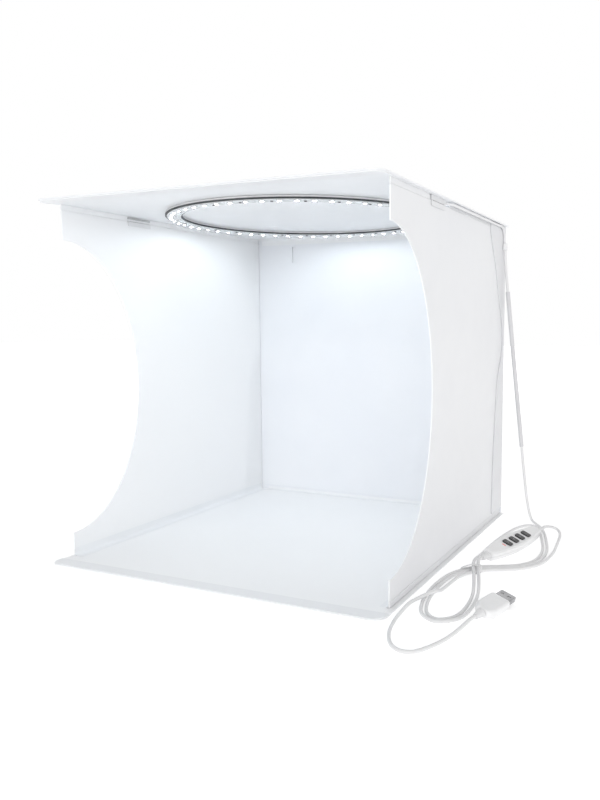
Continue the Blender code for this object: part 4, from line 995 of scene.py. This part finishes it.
def usb_route():
    tip = Vector((0, CONTROLLER_LENGTH / 2 + RELIEF_LENGTH + GAP * 2, CONTROLLER_HEIGHT / 2))
    route = [CONTROLLER_FRAME @ tip, CONTROLLER_FRAME @ (tip + STRAIGHT_END)]
    route += [place_at(*point) for point in USB_START_ROUTE]
    route += [lane_place(index, -1) for index in range(*USB_TURN_POINTS)]
    route += [place_at(*point) for point in USB_END_ROUTE]
    neck = Vector((0, -GAP, PLUG_HEIGHT / 2))
    return route + [PLUG_FRAME @ (neck - STRAIGHT_END), PLUG_FRAME @ neck]


def wire_line_points():
    """The lamp's wire: out through the right rim, back under the overhang and down to the clip."""
    path = smooth_path([(x * MM, FRONT + depth * MM, WIRE_HEIGHT) for x, depth in WIRE_ROUTE], 4)
    for step in range(WIRE_BEND_STEPS + 1):
        angle = math.pi / 2 * step / WIRE_BEND_STEPS
        path.append(Vector((WIRE_X, WIRE_DROP - WIRE_BEND * (1 - math.sin(angle)),
                            WIRE_HEIGHT - WIRE_BEND * (1 - math.cos(angle)))))
    path.append(Vector((WIRE_X, WIRE_DROP, WIRE_END)))
    return path


def drawn_tube(name, path, diameter, finish, node):
    """A round tube along a path in place of a CAD cord, made on a curve and turned into a mesh."""
    curve = bpy.data.curves.new(name, "CURVE")
    curve.dimensions = "3D"
    curve.bevel_depth = diameter / 2
    curve.bevel_resolution = CORD_ROUNDNESS
    curve.use_fill_caps = True
    spline = curve.splines.new("POLY")
    spline.points.add(len(path) - 1)
    for point, place in zip(spline.points, path):
        point.co = (*place, 1)
    carrier = show(f"{name}_line", curve)
    bpy.context.view_layer.update()
    mesh = bpy.data.meshes.new_from_object(carrier)
    bpy.data.objects.remove(carrier)
    mesh.name = name
    mesh.materials.clear()
    mesh.materials.append(FINISHES[finish])
    mesh.shade_smooth()
    mesh.set_sharp_from_angle(angle=CORD_SHARP_ANGLE)
    piece = show(name, mesh)
    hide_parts(node)
    return piece


def make_cords():
    lead_line = smooth_path(lead_route(), CORD_SAMPLES)
    lead = drawn_tube("lead", lead_line, CORD_DIAMETER, "cord", "lead_cord")
    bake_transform(lead)
    usb_line = smooth_path(usb_route(), CORD_SAMPLES)
    usb = drawn_tube("usb_lead", usb_line, CORD_DIAMETER, "cord", "usb_cord")
    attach(usb, "floor")
    covered = [point for point in lead_line if SLEEVE_HEIGHTS[0] < point.z < SLEEVE_HEIGHTS[1]]
    sleeve = drawn_tube("lead_shrink_sleeve", covered, SLEEVE_DIAMETER, "sleeve", "lead_sleeve")
    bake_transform(sleeve)
    wire = drawn_tube("lamp_wire", wire_line_points(), WIRE_DIAMETER, "wire", "lead_wire")
    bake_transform(wire)
    return lead, lead_line, usb, usb_line


# Controller
# A sign's bars, as their place along the key and their size, and the radii of its rings
ACROSS = (SIGN_BAR, SIGN_STROKE)
SIGN_BARS = {
    "power": [(0.75 * MM, (SIGN_STROKE, SIGN_BAR / 2))], "colour": [], "dimmer": [(0, ACROSS)],
    "brighter": [(0, ACROSS), (0, ACROSS[::-1])],
}
SIGN_RING_STEPS = 20
SIGN_RINGS = {"power": [1.05 * MM], "colour": [0.6 * MM, 1.15 * MM], "dimmer": [], "brighter": []}


def sign_strokes(bm, name):
    """A small raised sign on a button: a ring and stroke, a sun, a plus or a minus."""
    before = set(bm.faces)
    for forward, size in SIGN_BARS[name]:
        small_block(bm, (0, forward, SIGN_LEVEL), (*size, SIGN_HEIGHT), 0)
    for radius in SIGN_RINGS[name]:
        made = bmesh.ops.create_circle(bm, radius=radius, segments=SIGN_RING_STEPS)
        bmesh.ops.translate(bm, verts=made["verts"], vec=(0, 0, SIGN_LEVEL + SIGN_HEIGHT / 2))
        drawn = bmesh.ops.extrude_edge_only(bm, edges=edges_round(made["verts"]))
        share = 1 - SIGN_RING_STROKE / radius
        bmesh.ops.scale(bm, verts=drawn_verts(drawn), vec=(share, share, 1))
    for face in set(bm.faces) - before:
        face.material_index = 1


def height_of(face):
    return face.calc_center_median().z


def rounded_block(bm, middle, size, corner, crown):
    """A block with rounded upright corners and a softened top, added to a bmesh."""
    before = set(bm.faces)
    edges = new_block(bm, (0, 0, middle), size)
    upright = [edge for edge in edges if abs(edge.verts[0].co.z - edge.verts[1].co.z) > size[2] / 2]
    bevel(bm, upright, corner, 6)
    top = max((face for face in bm.faces if face not in before), key=height_of)
    bevel(bm, list(top.edges), crown, 3)


def button_blank(name):
    """A key with a broad head on a narrower stem, its sign on the crown, which is at zero."""
    bm = bmesh.new()
    rounded_block(bm, STEM_MIDDLE, KEY_STEM, *STEM_ROUNDINGS)
    rounded_block(bm, -KEY_HEAD[2] / 2, KEY_HEAD, *HEAD_ROUNDINGS)
    bmesh.ops.recalc_face_normals(bm, faces=bm.faces)
    sign_strokes(bm, name)
    return bm


def make_controller():
    """The dimmer's pieces; gives back their names."""
    inward = CONTROLLER_FRAME.inverted()

    def on_crown(edge):
        lowest = min((inward @ vert.co).z for vert in edge.verts)
        return lowest > CROWN_ABOVE and edge.calc_length() > CROWN_EDGE_LENGTH

    made = [softened_node(node, "controller", "shell", "floor", on_crown)
            for node in ("controller_base", "controller_cover")]
    made.append(dress("controller_board", "circuit"))
    made.append(dress("controller_indicator", "indicator"))
    made += [dress(f"switch_{name}", "switch") for name in BUTTON_NAMES]
    for name, along in zip(BUTTON_NAMES, BUTTON_ALONG):
        bm = button_blank(name)
        crown = Vector((BUTTON_ACROSS, along, CONTROLLER_HEIGHT + BUTTON_PROUD))
        bmesh.ops.transform(bm, matrix=CONTROLLER_FRAME @ Matrix.Translation(crown), verts=bm.verts)
        made.append(new_piece(f"{name}_key_cap", bm, ["button", "print"], f"{name}_key",
                              (f"button_{name}",)))
    for end, side in ((-1, "in"), (1, "out")):
        start = end * (CONTROLLER_LENGTH / 2 + GAP)
        bm = ribbed_relief(start, start + end * RELIEF_LENGTH, CONTROLLER_HEIGHT / 2, CONTROLLER_FRAME)
        made.append(new_piece(f"relief_{side}", bm, ["relief"], "floor",
                              (f"controller_relief_{side}",)))
    return [piece.name for piece in made]


def ribbed_relief(start, end, height, place):
    """A tapered rubber relief turned with grooves round it, about its own Y, and put in its place."""
    wide, narrow = RELIEF_WIDTHS
    length = end - start
    profile = [(0, start), (wide / 2 - RELIEF_ROUNDINGS[0], start), (wide / 2, start + length * 0.04)]
    for rib in range(RELIEF_RIBS):
        for share, sunk in ((0.1, 0), (0.5, 0), (0.55, 1), (0.95, 1)):
            along = 0.08 + 0.84 * (rib + share) / RELIEF_RIBS
            reach = wide / 2 + (narrow - wide) / 2 * along - sunk * RELIEF_GROOVE
            profile.append((reach, start + length * along))
    profile += [(narrow / 2, start + length * 0.95), (narrow / 2 - RELIEF_ROUNDINGS[1], end), (0, end)]
    bm = bmesh.new()
    verts = [bm.verts.new((reach, along, height)) for reach, along in profile]
    edges = [bm.edges.new(pair) for pair in zip(verts, verts[1:])]
    bmesh.ops.spin(bm, geom=verts + edges, cent=(0, 0, height), axis=(0, 1, 0), angle=math.tau,
                   steps=RELIEF_STEPS, use_merge=True)
    bmesh.ops.remove_doubles(bm, verts=bm.verts, dist=MERGE_DISTANCE)
    bmesh.ops.transform(bm, matrix=place, verts=bm.verts)
    return bm


def make_plug():
    """The plug's pieces; gives back their names."""
    bm = ribbed_relief(PLUG_RELIEF_LENGTH, 0, PLUG_HEIGHT / 2, PLUG_FRAME)
    made = [softened_node("plug_body", "plug", "shell", "floor"),
            softened_node("plug_shell", "plug shell", "nickel", "floor"),
            new_piece("plug_relief_ribbed", bm, ["relief"], "floor", ("plug_relief",)),
            dress("plug_tongue", "tongue")]
    made += [dress(f"plug_contact_{index}", "gold") for index in range(1, 5)]
    return [piece.name for piece in made]


def hull(points):
    """Corners of the smallest convex outline round flat points, in order."""
    return [points[index] for index in geometry.convex_hull_2d(points)]


def make_tie(lines):
    """A strap drawn tight round the cords where they cross."""
    low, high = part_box("cord_tie")
    reach = CORD_DIAMETER / 2 + TIE_SLACK
    points = []
    for place in (point for line in lines for point in line):
        if low.y - MM < place.y < high.y + MM and place.z < high.z:
            turns = [math.tau * step / TIE_STEPS for step in range(TIE_STEPS)]
            points += [(place.x + reach * math.cos(turn), place.z + reach * math.sin(turn)) for turn in turns]
    bm = bmesh.new()
    edges = closed_loop(bm, [(across, low.y, up) for across, up in hull(points)])[1]
    drawn = bmesh.ops.extrude_edge_only(bm, edges=edges)
    bmesh.ops.translate(bm, verts=drawn_verts(drawn), vec=(0, high.y - low.y, 0))
    bmesh.ops.recalc_face_normals(bm, faces=bm.faces)
    bmesh.ops.solidify(bm, geom=bm.faces[:], thickness=-TIE_THICKNESS)
    new_piece("tight_cord_tie", bm, ["strap"], "floor", ("cord_tie",))


# Studio: strengths of the air and of the floor's glow, near the object and far from it
HORIZON_STRENGTH = 1.15
ZENITH_STRENGTH = 0.36
FLOOR_FADE = (0.35, 2.5)
FLOOR_GLOW = (0.45, 0.75)
UNSEEN_FLOOR_GLOW = 0.42
LAMP_TARGET = Vector((0, 0, 0.15))
# Each lamp's name, place, size in metres and power in watts
LAMPS = (("key", (0.9, -2.4, 0.8), 2.4, 20), ("rear", (-0.6, 2.4, 1.2), 2.0, 2))


def white_glow(owner, kind, strength):
    node = add_node(owner, kind)
    set_inputs(node, {"Color": (1, 1, 1, 1), "Strength": strength})
    return node


def as_seen(owner, others, seen):
    """The seen shader for rays from the camera, off glossy surfaces and through clear ones."""
    path = add_node(owner, "ShaderNodeLightPath")
    mix = add_node(owner, "ShaderNodeMixShader")
    kinds = ("Is Camera Ray", "Is Glossy Ray", "Is Transmission Ray")
    direct = strongest(owner, [path.outputs[kind] for kind in kinds])
    for socket, value in zip(mix.inputs, (direct, others.outputs[0], seen.outputs[0])):
        join(owner, value, socket)
    return mix.outputs["Shader"]


def set_air():
    """Light from all round, strongest from the horizon, before a plain white backdrop."""
    world = bpy.data.worlds.new("studio")
    world.use_nodes = True
    bpy.context.scene.world = world
    air = white_glow(world, "ShaderNodeBackground", HORIZON_STRENGTH)
    split = add_node(world, "ShaderNodeSeparateXYZ")
    join(world, add_node(world, "ShaderNodeTexCoord").outputs["Generated"], split.inputs["Vector"])
    fall = remap(world, split.outputs["Z"], 0, 1, HORIZON_STRENGTH, ZENITH_STRENGTH)
    join(world, fall, air.inputs["Strength"])
    backdrop = white_glow(world, "ShaderNodeBackground", 1.0)
    join(world, as_seen(world, air, backdrop), world.node_tree.nodes["World Output"].inputs["Surface"])


def set_ground():
    """A pale floor that keeps the shadow and fades into the backdrop."""
    bm = bmesh.new()
    bmesh.ops.create_grid(bm, x_segments=1, y_segments=1, size=6)
    ground = show("studio_floor", finished_mesh("studio_floor", bm))
    pale = new_material("pale studio floor", (0.86, 0.86, 0.86), 0.9)
    glow = white_glow(pale, "ShaderNodeEmission", FLOOR_GLOW[0])
    away = add_node(pale, "ShaderNodeVectorMath", operation="LENGTH")
    join(pale, object_place(pale), away.inputs[0])
    join(pale, remap(pale, away.outputs["Value"], *FLOOR_FADE, *FLOOR_GLOW), glow.inputs["Strength"])
    unseen = white_glow(pale, "ShaderNodeEmission", UNSEEN_FLOOR_GLOW)
    both = add_node(pale, "ShaderNodeAddShader")
    join(pale, surface(pale).outputs["BSDF"], both.inputs[0])
    join(pale, as_seen(pale, unseen, glow), both.inputs[1])
    join(pale, both.outputs["Shader"], pale.node_tree.nodes["Material Output"].inputs["Surface"])
    ground.data.materials.append(pale)


def set_lamps():
    for name, place, size, power in LAMPS:
        lamp = bpy.data.lights.new(name, "AREA")
        lamp.shape = "SQUARE"
        lamp.size = size
        lamp.energy = power
        holder = show(name, lamp)
        holder.location = place
        holder.rotation_euler = (LAMP_TARGET - Vector(place)).to_track_quat("-Z", "Y").to_euler()


set_camera()
FINISHES = make_finishes()
lead, lead_line, usb, usb_line = make_cords()
make_floor()
make_walls()
make_back()
make_top()
make_hinge_films()
make_ring()
make_tie((lead_line, usb_line))
pieces = {"controller": make_controller(), "plug": make_plug()}
set_air()
set_ground()
set_lamps()
bpy.context.scene.view_settings.view_transform = "Standard"
